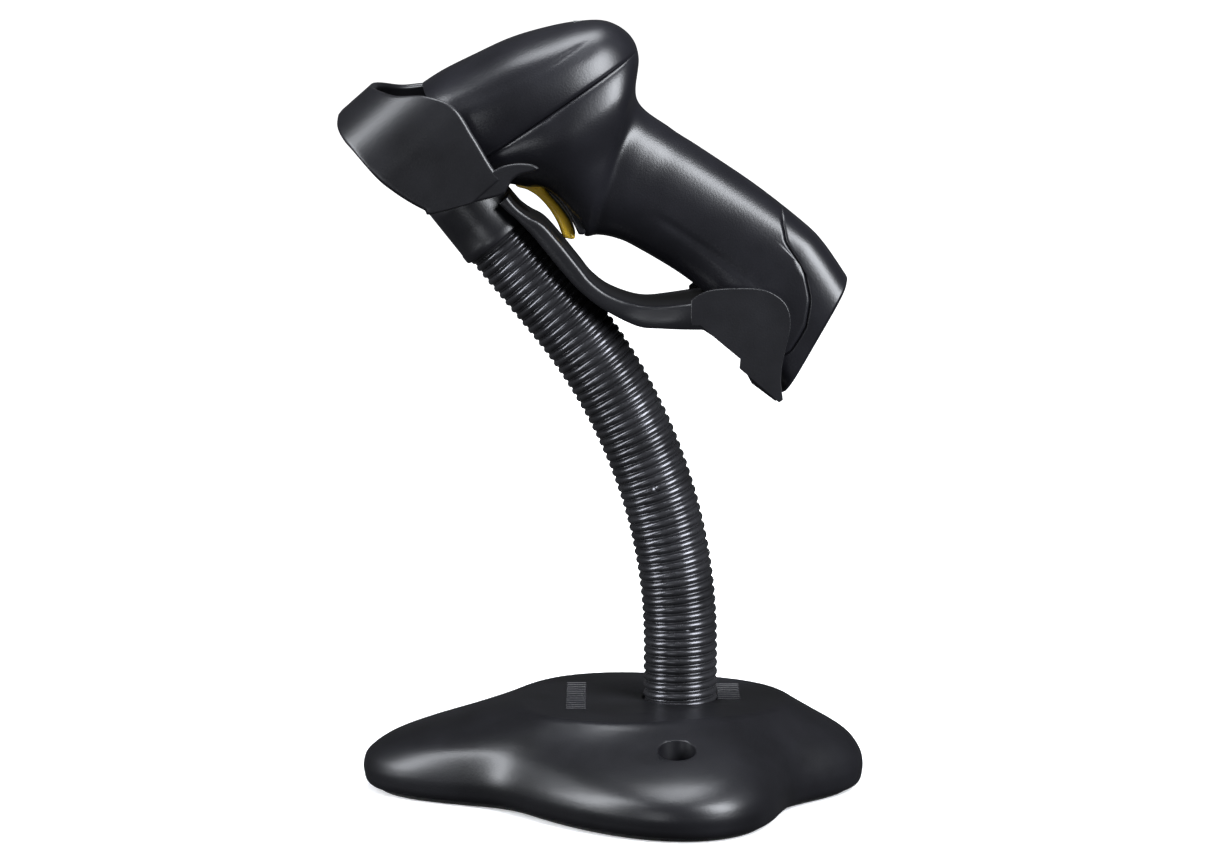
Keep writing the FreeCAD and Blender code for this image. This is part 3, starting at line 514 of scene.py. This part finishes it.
def make_base(materials):
    around = 288
    turns = [2 * pi * k / around for k in range(around)]
    rings = []
    for height, up, inset in smooth_through(BASE_SKIN, BASE_STEPS):
        rings.append([(*lobe_point(turn, up, inset), height) for turn in turns])
    for radius, height in NECK_WELL:
        rings.append([(radius * cos(turn), radius * sin(turn), height) for turn in turns])
    cover = closed_tube("base_shell", rings, materials["stand_black"])
    for across in (-MOUNT_ACROSS, MOUNT_ACROSS):
        for radius, low, high in MOUNT_BORES:
            drill(cover, (MOUNT_ALONG, across), radius, low, high)
    finish_piece(cover, "base", "stand_black", "base_cover")


def make_marks(materials):
    """Two plain raised grip patches on the base's flat top."""
    corners, faces = [], []
    for middle, start, length, count in RIB_PATCHES:
        for k in range(count):
            x0, x1 = middle - length / 2, middle - length / 2 + length
            y0, y1 = start + k * RIB_SPACING, start + k * RIB_SPACING + RIB_WIDTH
            first = len(corners)
            for height, inset in RIB_LAYERS:
                corners += [(x0 + inset, y0 + inset, height), (x1 - inset, y0 + inset, height),
                            (x1 - inset, y1 - inset, height), (x0 + inset, y1 - inset, height)]
            faces += [tuple(first + j for j in face) for face in grid_faces(3, 4, wrap_columns=True)]
            faces += [(first + 3, first + 2, first + 1, first), tuple(first + 8 + j for j in range(4))]
    marks = outward(mesh("plateau_ribs", corners, faces, materials["stand_black"], smooth=False))
    finish_piece(marks, "base", "stand_black")


# ---------------------------------------------------------------- scanner housing

# Top edge X and Z, underside X and Z, and half width, from the nose to the butt.
STATIONS = [
    (-88.9, 247.3, -70.6, 214.4, 27.0), (-81.9, 251.7, -64.4, 213.4, 29.0),
    (-71.4, 256.9, -57.4, 212.6, 30.5), (-59.2, 262.5, -50.8, 211.1, 31.0),
    (-46.9, 266.2, -45.2, 207.9, 31.0), (-35.7, 268.3, -41.0, 203.7, 30.5),
    (-25.9, 268.3, -37.5, 199.2, 29.0), (-18.2, 263.9, -34.7, 195.9, 27.0),
    (-14.8, 256.2, -32.6, 194.5, 24.5), (-15.2, 241.2, -28.7, 195.0, 19.5),
    (-3.9, 231.7, -22.8, 193.9, 17.6), (6.3, 225.1, -15.8, 190.8, 17.2),
    (25.6, 212.1, 1.4, 180.3, 17.2), (42.4, 198.8, 15.4, 168.2, 18.0),
    (49.6, 191.4, 20.9, 158.8, 18.4), (57.6, 179.8, 35.1, 140.1, 18.4),
]
LAST = len(STATIONS) - 1
CREASE_PLACE = (-41.7, 240.6)
CREASE_ALONG = (cos(radians(34.2)), sin(radians(34.2)))
BUTT_SEAM = [(34.2, 201.0), (35.4, 194.0), (41.8, 184.0), (43.8, 174.5), (42.2, 164.5), (37.0, 156.4),
             (27.4, 150.2)]
CHEEK = [(-52.0, 214.4), (-48.6, 212.8), (-44.8, 210.0), (-41.7, 206.8), (-39.1, 203.2), (-37.0, 199.3),
         (-35.4, 196.0), (-33.2, 196.4), (-32.4, 201.0), (-35.0, 207.0), (-40.0, 212.4), (-46.0, 216.6)]
CHEEK_INNER, CHEEK_OUTER = 8.2, 11.4
SCREW_SINKS = [(-17.0, 206.0), (24.0, 190.0)]
SHELL_WALL = 2.2
END_ROWS = 7                             # rows of points on each end face, inside the skin's edge
SEAM_SEARCH_START = 11.6                 # the station where the rows turn towards the cap's seam
CAP_END = LAST - 0.1
SLOT_HALF = 8.1
SLOT_START, SLOT_STOP = Vector((-57.4, 0, 212.6)), Vector((-33.4, 0, 194.9))
SLOT_ALONG = Vector((0.77, 0, -0.64))
SLOT_RISE = 0.55
SLOT_TOP = 214.0


def station_at(s):
    return along_curve(STATIONS, s)


def above_crease(x, z):
    """Distance above the parting plane between the top cover and the grip."""
    return (z - CREASE_PLACE[1]) * CREASE_ALONG[0] - (x - CREASE_PLACE[0]) * CREASE_ALONG[1]


def beyond_seam(x, z):
    """Distance towards the butt from the cap's curved seam."""
    if z >= BUTT_SEAM[0][1]:
        return x - BUTT_SEAM[0][0]
    for (x0, z0), (x1, z1) in zip(BUTT_SEAM, BUTT_SEAM[1:]):
        if z >= z1:
            return x - (x0 + (x1 - x0) * (z0 - z) / (z0 - z1))
    (x0, z0), (x1, z1) = BUTT_SEAM[-2:]
    return x - (x1 + (x1 - x0) * (z1 - z) / (z0 - z1))


def hump(value, width):
    """1 at zero, falling away smoothly on both sides."""
    return exp(-(value / width) ** 2)


def smooth_step(value, low, high):
    t = min(1.0, max(0.0, (value - low) / (high - low)))
    return t * t * (3 - 2 * t)


def line_groove(x, z, start, end, width, depth):
    """Depth of a soft straight channel seen from the side."""
    along = Vector((end[0] - start[0], end[1] - start[1]))
    length = along.length
    along /= length
    away = Vector((x - start[0], z - start[1]))
    travel = away.dot(along)
    miss = away.x * along.y - away.y * along.x
    ends = smooth_step(travel, -3, 6) * (1 - smooth_step(travel, length - 6, length + 3))
    return depth * hump(miss, width) * ends


def skin(s, v, side):
    """A point on the housing: s along the gun, v from its top edge (0) to its underside (1)."""
    tx, tz, bx, bz, half = station_at(s)
    angle = pi * min(max(v, 0.0), 1.0)
    power = 0.8 - 0.28 * smooth_step(s, 11.5, 13.5)
    along = abs(cos(angle)) ** power * (1 if angle < pi / 2 else -1)
    x = bx + (tx - bx) * (1 + along) / 2
    z = bz + (tz - bz) * (1 + along) / 2
    out = half * sin(angle) ** power
    raised = 3.4 * smooth_step(s, 2.6, 4.0) * (1 - smooth_step(s, 6.4, 7.4)) * smooth_step(v, 0.78, 0.97)
    chord = sqrt((tx - bx) ** 2 + (tz - bz) ** 2)
    x += (tx - bx) / chord * raised
    z += (tz - bz) / chord * raised
    lift = above_crease(x, z)
    head = 1 - smooth_step(s, 8.0, 9.6)
    valley = exp(-abs(lift) / (10.0 if lift > 0 else 4.2))
    pinch = 2.6 * valley * head * smooth_step(v, 0.04, 0.2)
    waist = 3.4 * smooth_step(-lift, 8, 24) * head * smooth_step(1 - v, 0.0, 0.25)
    seam = 0.6 * hump(lift, 0.55) * head + 0.8 * hump(beyond_seam(x, z), 0.4) * smooth_step(s, 11.5, 12.5)
    grip_line = line_groove(x, z, (-9, 203.2), (31.5, 176.0), 1.5, 0.5)
    cover_line = line_groove(x, z, (-46, 254.0), (-32.5, 262.5), 0.5, 0.35)
    flute = line_groove(x, z, (-80, 240.0), (-30, 261.0), 2.5, 0.35)
    drop = pinch + waist + seam + grip_line + cover_line + flute
    for sx, sz in SCREW_SINKS:
        if side > 0:
            drop += 3.5 * (1 - smooth_step(sqrt((x - sx) ** 2 + (z - sz) ** 2), 2.6, 3.2))
    return Vector((x, side * max(0.0, out - drop * min(1.0, out / 6.0)), z))


def find_crossing(value, low, high):
    """Where value() changes sign between low and high."""
    first = value(low)
    if first * value(high) > 0:
        return None
    for _ in range(30):
        middle = (low + high) / 2
        if value(middle) * first > 0:
            low = middle
        else:
            high = middle
    return (low + high) / 2


def crease_at(s):
    """How far down the skin the parting crease lies, or None where it has run out."""
    def value(v):
        tx, tz, bx, bz, _ = station_at(s)
        along = abs(cos(pi * v)) ** 0.8 * (1 if v < 0.5 else -1)
        return above_crease(bx + (tx - bx) * (1 + along) / 2, bz + (tz - bz) * (1 + along) / 2)
    return find_crossing(value, 0.0, 1.0)


def seam_at(v):
    """How far along the gun the cap's seam lies."""
    def value(s):
        p = skin(s, v, -1)
        return beyond_seam(p.x, p.z)
    return find_crossing(value, SEAM_SEARCH_START, LAST - 0.02) or LAST - 0.8


def spread_rows(low, high, count, ends=0.0):
    """count + 1 values from low to high, closer together at both ends."""
    values = []
    for k in range(count + 1):
        t = k / count
        values.append(low + (high - low) * (t - ends * sin(2 * pi * t) / (2 * pi)))
    return values


def end_ring(s, v, side, inset, push, direction):
    """A point of an end face, drawn in from the skin's edge towards the chord's middle."""
    edge = skin(s, v, side)
    tx, tz, bx, bz, _ = station_at(s)
    middle = Vector(((tx + bx) / 2, 0, (tz + bz) / 2))
    away = edge - middle
    drawn = middle + away * max(0.0, 1 - inset / max(away.length, 0.001))
    return drawn + direction * push


def window_ring(v, side, size, centre, up, push, direction):
    """A point of a rectangular opening's edge, for the same v as the skin's edge."""
    angle = pi * v
    x, y = cos(angle), sin(angle)
    scale = 1 / max(abs(x) / (size[1] / 2), abs(y) / (size[0] / 2), 1e-6)
    return centre + up * (x * scale) + Vector((0, side * y * scale, 0)) + direction * push


NOSE_OUT = Vector((-cos(radians(30)), 0, -sin(radians(30))))
NOSE_UP = Vector((-sin(radians(30)), 0, cos(radians(30))))
NOSE_CENTRE = Vector((-79.7, 0, 230.8))
BUTT_OUT = Vector((cos(radians(28.6)), 0, -sin(radians(28.6))))
BUTT_UP = Vector((sin(radians(28.6)), 0, cos(radians(28.6))))
BUTT_CENTRE = Vector((46.7, 0, 160.8))


def front_rows(v, side):
    rows = [window_ring(v, side, (35, 17.6), NOSE_CENTRE, NOSE_UP, push, NOSE_OUT)
            for push in (-3.2, -0.6, 0.0)]
    rows.append(window_ring(v, side, (36, 18.6), NOSE_CENTRE, NOSE_UP, 0.25, NOSE_OUT))
    rows += [end_ring(0, v, side, inset, push, NOSE_OUT)
             for inset, push in ((3.0, 0.25), (1.0, 0.1), (0.25, -0.2))]
    return rows


def back_rows(v, side):
    rows = [end_ring(LAST, v, side, inset, push, BUTT_OUT)
            for inset, push in ((0.25, -0.9), (0.9, -0.3), (2.0, 0.0), (4.0, 0.0))]
    rows += [window_ring(v, side, size, BUTT_CENTRE, BUTT_UP, push, BUTT_OUT)
             for size, push in (((13.4, 10.4), 0.0), ((12.4, 9.4), -0.5), ((12.4, 9.4), -3.0))]
    return rows


def sheet_of(columns):
    """Points and faces of a grid given as a list of columns."""
    count = len(columns[0])
    return [p for column in columns for p in column], grid_faces(len(columns), count)


def joined(name, parts, material):
    points, faces = [], []
    for some, quads in parts:
        faces += [tuple(k + len(points) for k in quad) for quad in quads]
        points += some
    return outward(mesh(name, points, faces, material))


def thicken(thing, thickness):
    """Turns a sheet into a wall that lies inside it."""
    solid = thing.modifiers.new("wall", "SOLIDIFY")
    solid.thickness = thickness * MM
    solid.offset = -1
    solid.use_rim = True
    return apply_modifiers(thing)


def flip_outward(thing, centre_line):
    """For an open sheet: makes most normals point away from a centre line."""
    work = bmesh.new()
    work.from_mesh(thing.data)
    work.normal_update()
    score = 0.0
    for face in work.faces:
        here = face.calc_center_median() / MM
        nearest = min(centre_line, key=lambda p: (p - here).length_squared)
        score += (here - nearest).dot(face.normal) * face.calc_area()
    if score < 0:
        bmesh.ops.reverse_faces(work, faces=work.faces)
    work.to_mesh(thing.data)
    work.free()


def cut_slot(thing, half_width):
    """Opens the housing's underside for the trigger."""
    work = bmesh.new()
    work.from_mesh(thing.data)
    planes = [(Vector((0, side * half_width, 0)), Vector((0, 1, 0))) for side in (-1, 1)]
    planes += [(SLOT_START, SLOT_ALONG), (SLOT_STOP, SLOT_ALONG)]
    for place, normal in planes:
        everything = work.verts[:] + work.edges[:] + work.faces[:]
        bmesh.ops.bisect_plane(work, geom=everything, plane_co=place * MM, plane_no=normal)
    gone = []
    for face in work.faces:
        p = face.calc_center_median() / MM
        within = (p - SLOT_START).dot(SLOT_ALONG) > 0 and (p - SLOT_STOP).dot(SLOT_ALONG) < 0
        low = p.z < SLOT_TOP - (p.x - SLOT_START.x) * SLOT_RISE
        if abs(p.y) < half_width and within and low:
            gone.append(face)
    bmesh.ops.delete(work, geom=gone, context="FACES")
    work.to_mesh(thing.data)
    work.free()


def make_housing(materials):
    black = materials["housing_black"]
    middle_line = [Vector(((a + c) / 2, 0, (b + d) / 2)) for a, b, c, d, _ in STATIONS]
    head_end = find_crossing(lambda s: (crease_at(s) or 0.0) - 0.02, 7.0, 8.6) or 8.0
    head_columns = spread_rows(0.0, head_end, 110)

    covers = []
    for side in (-1, 1):
        columns = []
        for k, s in enumerate([0.0] * END_ROWS + head_columns):
            stop = crease_at(s) or 0.0
            rows = [stop * (1 - (1 - t) ** 1.3) for t in spread_rows(0, 1, 44)]
            if k < END_ROWS:
                columns.append([front_rows(v, side)[k] for v in rows])
            else:
                columns.append([skin(s, v, side) for v in rows])
        covers.append(sheet_of(columns))
    cover = joined("cover_shell", covers, black)
    flip_outward(cover, middle_line)
    finish_piece(thicken(cover, SHELL_WALL), "scanner", "housing_black", "top_cover")

    fractions = spread_rows(0, 1, 72)
    seams = [seam_at(v) for v in fractions]
    for side, word in ((-1, "left"), (1, "right")):
        columns = []
        start = crease_at(0.0)
        for k in range(END_ROWS):
            columns.append([front_rows(start + (1 - start) * t, side)[k] for t in fractions])
        for s in spread_rows(0.0, SEAM_SEARCH_START, 150):
            start = crease_at(s) or 0.0
            columns.append([skin(s, start + (1 - start) * t, side) for t in fractions])
        for t in spread_rows(0, 1, 44, 0.6)[1:]:
            columns.append([skin(SEAM_SEARCH_START + (seam - SEAM_SEARCH_START) * t, v, side)
                            for seam, v in zip(seams, fractions)])
        half = joined("grip_shell_" + word, [sheet_of(columns)], black)
        flip_outward(half, middle_line)
        cut_slot(half, SLOT_HALF)
        finish_piece(thicken(half, SHELL_WALL), "scanner", "housing_black", "grip_" + word)
        low, high = sorted((side * CHEEK_INNER, side * CHEEK_OUTER))
        panel("trigger_cheek_" + word, dense_outline(CHEEK, (0, 6)), low, high, 1.0, black, "scanner",
              "housing_black")

    caps = []
    for side in (-1, 1):
        columns = []
        for t in spread_rows(0, 1, 40, 0.5):
            columns.append([skin(seam + (CAP_END - seam) * t, v, side) for seam, v in zip(seams, fractions)])
        for k in range(END_ROWS):
            columns.append([back_rows(v, side)[k] for v in fractions])
        caps.append(sheet_of(columns))
    cap = joined("butt_shell", caps, black)
    flip_outward(cap, middle_line)
    finish_piece(thicken(cap, SHELL_WALL), "scanner", "housing_black", "butt_cap")


# ---------------------------------------------------------------- holder: cup, socket, arm and clip

CUP_LEAN = radians(48.7)
CUP_FRONT, CUP_BACK = -255.7, -203.9
CUP_HALF, CUP_CORNER, CUP_WALL = 34.5, 27.0, 2.6
CUP_EDGE = 1.2                           # how far the rim's and the mouth's rounding reaches along the axis
CUP_RIM = [(-125, 249), (-107.5, 247.3), (-97.5, 245.2), (-87, 245.3), (-77, 241.5), (-70, 231.0),
           (-62.5, 219.0), (-56, 216)]
CUP_MOUTH = [(-125, 240.5), (-118.8, 237.9), (-117.8, 233.8), (-115.4, 230.2), (-111.2, 226.0),
             (-103.0, 217.2), (-97.7, 212.9), (-92.4, 209.4), (-87.2, 206.6), (-84.0, 205.4), (-60.0, 212.2)]
FLAT_RIM, FLAT_MOUTH = 99.0, 68.6        # heights along the axis where those curves don't reach
# Bottom, top and half width of each piece of the cup's back, and its thickness in X and Z.
CUP_BACKS = (("cup_back_wall", 85.0, 91.8, CUP_HALF - 0.3), ("cup_back_foot", 75.5, 86.0, 10.0))
BACK_DEPTH = (-1.72, 1.95)
SOCKET_FOOT = Vector((-62.7, 0, 193.65))
SOCKET_UP = Vector((-sin(BEND_TURN), 0, cos(BEND_TURN)))
SOCKET_SIDES = 96
# Radius and height along the socket's axis, up its outside and down its bore.
SOCKET_RING = ((13.02, 0.9), (13.3, 0.25), (13.7, 0.0), (14.0, 0.25), (14.15, 0.8), (14.15, 3.0),
               (13.9, 3.5), (13.8, 10.0), (13.7, 18.0), (13.6, 25.0), (13.02, 25.0), (13.02, 10.0))
SOCKET_TRIM_PLACE, SOCKET_TRIM_UP = Vector((-80.0, 0, 215.0)), Vector((0.05, 0, 1.0)).normalized()
THROAT_LIP = [(-72.0, 214.0), (-66.5, 219.2), (-64.0, 220.2), (-60.4, 221.8), (-55.7, 222.6),
              (-50.8, 222.2), (-48.6, 220.8), (-51.0, 219.6), (-55.0, 218.6), (-57.6, 216.8),
              (-59.2, 214.0), (-61.4, 211.8), (-72.0, 208.9), (-83.0, 205.8), (-86.0, 208.0), (-80.0, 213.0)]
LIP_INNER, LIP_OUTER = 32.2, 34.46


def cup_axis_point(across, along):
    return Vector((cos(CUP_LEAN) * across + sin(CUP_LEAN) * along, 0,
                   -sin(CUP_LEAN) * across + cos(CUP_LEAN) * along))


def height_on(curve, across):
    """Where a side-view curve crosses the cup's axis direction at this place across it."""
    dense = smooth_through(curve, 160)
    best = None
    for (x0, z0), (x1, z1) in zip(dense, dense[1:]):
        a0 = cos(CUP_LEAN) * x0 - sin(CUP_LEAN) * z0
        a1 = cos(CUP_LEAN) * x1 - sin(CUP_LEAN) * z1
        if (a0 - across) * (a1 - across) <= 0 and a0 != a1:
            t = (across - a0) / (a1 - a0)
            x, z = x0 + (x1 - x0) * t, z0 + (z1 - z0) * t
            height = sin(CUP_LEAN) * x + cos(CUP_LEAN) * z
            best = height if best is None else max(best, height)
    return best


def cup_plan():
    """The cup's outline across its axis, from one side's back end round the front, with outward normals."""
    corner = CUP_FRONT + CUP_CORNER
    path = []
    straight = [CUP_BACK + (corner - CUP_BACK) * k / 34 for k in range(34)]
    path += [(a, -CUP_HALF, 0, -1) for a in straight]
    for k in range(41):
        turn = pi / 2 * k / 40
        path.append((corner - CUP_CORNER * sin(turn), -(CUP_HALF - CUP_CORNER) - CUP_CORNER * cos(turn),
                     -sin(turn), -cos(turn)))
    path += [(CUP_FRONT, -(CUP_HALF - CUP_CORNER) * (1 - k / 4), -1, 0) for k in range(1, 5)]
    mirrored = [(a, -y, na, -ny) for a, y, na, ny in reversed(path[:-1])]
    return path + mirrored


def wall_section(low, top):
    """The cup wall's section as (depth, height): up outside, over the rim, down inside, round the mouth."""
    half, tall = CUP_WALL / 2, top - low - 2 * CUP_EDGE
    section = [(0.0, low + CUP_EDGE + tall * k / 30) for k in range(31)]
    for k in range(1, 9):
        turn = pi * k / 8
        section.append((half - half * cos(turn), top - CUP_EDGE + CUP_EDGE * sin(turn)))
    section += [(CUP_WALL, top - CUP_EDGE - tall * k / 30) for k in range(1, 31)]
    for k in range(1, 8):
        turn = pi * k / 8
        section.append((half + half * cos(turn), low + CUP_EDGE - CUP_EDGE * sin(turn)))
    return section


def make_cup(materials):
    black = materials["stand_black"]
    columns = []
    heights = {}
    for across, y, na, ny in cup_plan():
        key = round(across, 4)
        if key not in heights:
            top = height_on(CUP_RIM, across) or FLAT_RIM
            low = height_on(CUP_MOUTH, across) or FLAT_MOUTH
            heights[key] = (low, max(top, low + 3.0))
        column = []
        for depth, along in wall_section(*heights[key]):
            place = cup_axis_point(across - na * depth, along)
            column.append(Vector((place.x, y - ny * depth, place.z)))
        columns.append(column)
    finish_piece(closed_tube("cup_wall", columns, black), "holder", "stand_black", "holder_cup")

    for name, low, high, half in CUP_BACKS:
        back = [cup_axis_point(CUP_BACK, low + (high - low) * k / 24) for k in range(25)]
        profile = [(p.x, p.z) for p in back]
        profile += [(p.x + BACK_DEPTH[0], p.z + BACK_DEPTH[1]) for p in reversed(back)]
        panel(name, profile, -half, half, 0.7, black, "holder")

    points = []
    side = Vector((SOCKET_UP.z, 0, -SOCKET_UP.x))
    for radius, up in SOCKET_RING:
        for k in range(SOCKET_SIDES):
            angle = 2 * pi * k / SOCKET_SIDES
            out = side * cos(angle) + Vector((0, sin(angle), 0))
            points.append(SOCKET_FOOT + SOCKET_UP * up + out * radius)
    faces = grid_faces(len(SOCKET_RING), SOCKET_SIDES, True, True)
    socket = outward(mesh("neck_socket", points, faces, black))
    trim_above(socket, SOCKET_TRIM_PLACE, SOCKET_TRIM_UP)
    finish_piece(socket, "holder", "stand_black")

    for sign, word in ((-1, "left"), (1, "right")):
        inner, outer = sorted((sign * LIP_INNER, sign * LIP_OUTER))
        panel("throat_lip_" + word, dense_outline(THROAT_LIP, ()), inner, outer, 0.9, black, "holder")


def dense_outline(points, corners, per_span=8):
    """A closed side-view outline, smooth but for its corners."""
    count = len(points)
    result = []
    if not corners:
        ring = [points[(k - 1) % count] for k in range(count + 3)]
        for k in range(count):
            run = smooth_through([ring[k], ring[k + 1], ring[k + 2], ring[k + 3]], 3 * per_span)
            result += run[per_span:2 * per_span]
        return result
    stops = list(corners) + [corners[0] + count]
    for first, last in zip(stops, stops[1:]):
        run = [points[i % count] for i in range(first, last + 1)]
        result += smooth_through(run, per_span * (len(run) - 1) if len(run) > 2 else 3)[:-1]
    return result


def panel(name, outline, low, high, radius, material, body, slot="stand_black", *replaced):
    """A side-view outline given thickness across the view, with rounded edges."""
    count = len(outline)
    area = sum(a[0] * b[1] - b[0] * a[1] for a, b in zip(outline, outline[1:] + outline[:1]))
    normals = []
    for k in range(count):
        (x0, z0), (x1, z1) = outline[k - 1], outline[(k + 1) % count]
        length = sqrt((x1 - x0) ** 2 + (z1 - z0) ** 2) or 1.0
        sign = 1 if area > 0 else -1
        normals.append((sign * (z1 - z0) / length, -sign * (x1 - x0) / length))
    points, rows = [], 0
    steps = [(k / 6 * pi / 2) for k in range(7)]
    layers = [(low + radius - radius * sin(t), radius - radius * cos(t)) for t in reversed(steps)]
    layers += [(high - radius + radius * sin(t), radius - radius * cos(t)) for t in steps]
    for y, inset in layers:
        for (x, z), (nx, nz) in zip(outline, normals):
            points.append((x - nx * inset, y, z - nz * inset))
        rows += 1
    faces = grid_faces(rows, count, wrap_columns=True)
    for first in (0, (rows - 1) * count):
        ring = [Vector((p[0], p[2], 0)) for p in points[first:first + count]]
        faces += [tuple(first + k for k in triangle) for triangle in tessellate_polygon([ring])]
    thing = outward(mesh(name, points, faces, material))
    for polygon in thing.data.polygons:
        if len(polygon.vertices) == 3:
            polygon.use_smooth = False
    return finish_piece(thing, body, slot, *replaced)


ARM_UPPER = [(-59.4, 209.6), (-57.2, 206.8), (-54.6, 204.4), (-51.9, 202.6), (-47.4, 200.0), (-41.8, 193.8),
             (-35.3, 185.7), (-30.8, 180.2), (-24.3, 175.6), (-14.0, 172.3), (-4.0, 172.6), (7.6, 174.2)]
ARM_LOWER = [(-62.4, 207.0), (-59.7, 204.4), (-57.1, 202.2), (-54.6, 199.7), (-51.0, 196.0), (-46.0, 189.8),
             (-39.7, 182.2), (-34.6, 176.8), (-26.9, 170.8), (-15.6, 165.2), (-6.7, 164.6), (7.6, 164.4)]
ARM_HALF, ARM_WALL, CLIP_HALF = 16.5, 2.2, 21.8
ARM_ROUND = 1.3                          # radius of the channel's upper edges
CLIP_PLATE = [(3.0, 174.6), (5.2, 176.2), (8.0, 177.6), (12.0, 178.4), (18.0, 178.7), (25.0, 178.6),
              (29.8, 177.5), (34.2, 174.6), (36.6, 170.4), (36.9, 164.5), (35.4, 157.6), (34.2, 151.8),
              (33.9, 146.0), (34.6, 140.4), (33.2, 139.3), (19.6, 151.2), (19.9, 154.4), (6.2, 165.8),
              (3.0, 165.8)]
PLATE_CORNERS = (0, 13, 14, 15, 16, 17, 18)
PLATE_INNER, PLATE_OUTER = 19.8, 22.0
CLIP_FLOOR = [(3.0, 172.6), (6.0, 173.2), (6.4, 170.8), (13.4, 167.2), (19.4, 157.9), (25.2, 147.6),
              (32.6, 140.8), (32.0, 139.6), (23.8, 145.8), (21.3, 150.6), (22.8, 153.9), (7.4, 164.1),
              (3.0, 165.0)]
FLOOR_CORNERS = (0, 1, 2, 6, 7, 8, 9, 10, 11, 12)
FLOOR_HALF = 20.4


def channel_section(half, depth):
    """The strap's section as (across, down): over its top to the other side, then back inside."""
    section = [(-half, depth - 0.5), (-half, depth * 0.5), (-half, ARM_ROUND)]
    section += [(-half + ARM_ROUND * (1 - cos(t)), ARM_ROUND * (1 - sin(t))) for t in (0.4, 0.8, 1.2, pi / 2)]
    section += [(-half + ARM_ROUND + (2 * half - 2 * ARM_ROUND) * k / 6, 0.0) for k in range(1, 6)]
    section += [(-y, d) for y, d in reversed(section[:7])]
    inner = half - ARM_WALL
    low, middle = min(depth - 0.6, 4.0), min(depth - 0.7, 2.7)
    section += [(half - 0.5, depth), (inner + 0.4, depth), (inner, depth - 0.5)]
    section += [(inner, low), (inner - 0.6, middle), (inner - 1.6, ARM_WALL),
                (-inner + 1.6, ARM_WALL), (-inner + 0.6, middle), (-inner, low)]
    section += [(-inner, depth - 0.5), (-inner - 0.4, depth), (-half + 0.5, depth)]
    return section


def make_arm(materials):
    black = materials["stand_black"]
    upper = smooth_through(ARM_UPPER, 96)
    lower = smooth_through(ARM_LOWER, 96)
    columns = []
    for (ux, uz), (lx, lz) in zip(upper, lower):
        top, bottom = Vector((ux, 0, uz)), Vector((lx, 0, lz))
        depth = (top - bottom).length
        down = (bottom - top) / depth
        half = ARM_HALF + (CLIP_HALF - ARM_HALF) * smooth_step(ux, -20.0, 4.0)
        columns.append([top + down * d + Vector((0, y, 0)) for y, d in channel_section(half, depth)])
    finish_piece(closed_tube("arm_channel", columns, black), "holder", "stand_black", "support_arm")

    for sign, word in ((-1, "left"), (1, "right")):
        inner, outer = sorted((sign * PLATE_INNER, sign * PLATE_OUTER))
        panel("clip_plate_" + word, dense_outline(CLIP_PLATE, PLATE_CORNERS), inner, outer, 0.3, black,
              "holder")
    panel("clip_floor", dense_outline(CLIP_FLOOR, FLOOR_CORNERS), -FLOOR_HALF, FLOOR_HALF, 0.4, black,
          "holder")


# ---------------------------------------------------------------- trigger

BLADE = [(-56.8, 212.2), (-53.0, 210.9), (-49.4, 208.6), (-45.8, 204.7), (-42.9, 200.0), (-41.0, 195.3),
         (-39.6, 194.2), (-36.7, 194.4), (-38.1, 199.6), (-41.7, 205.1), (-46.4, 210.7), (-48.8, 216.6),
         (-51.6, 218.8), (-54.4, 217.4), (-56.6, 214.4)]
BLADE_HALF, BLADE_EDGE = 7.5, 1.5


def make_trigger(materials):
    panel("trigger_blade", dense_outline(BLADE, ()), -BLADE_HALF, BLADE_HALF, BLADE_EDGE,
          materials["trigger_yellow"], "trigger", "trigger_yellow", "trigger")


# ---------------------------------------------------------------- the whole

make_camera()
make_light()
make_stage()
materials = make_materials()
dress_frame(materials)
make_neck(materials)
make_base(materials)
make_marks(materials)
make_housing(materials)
make_cup(materials)
make_arm(materials)
make_trigger(materials)
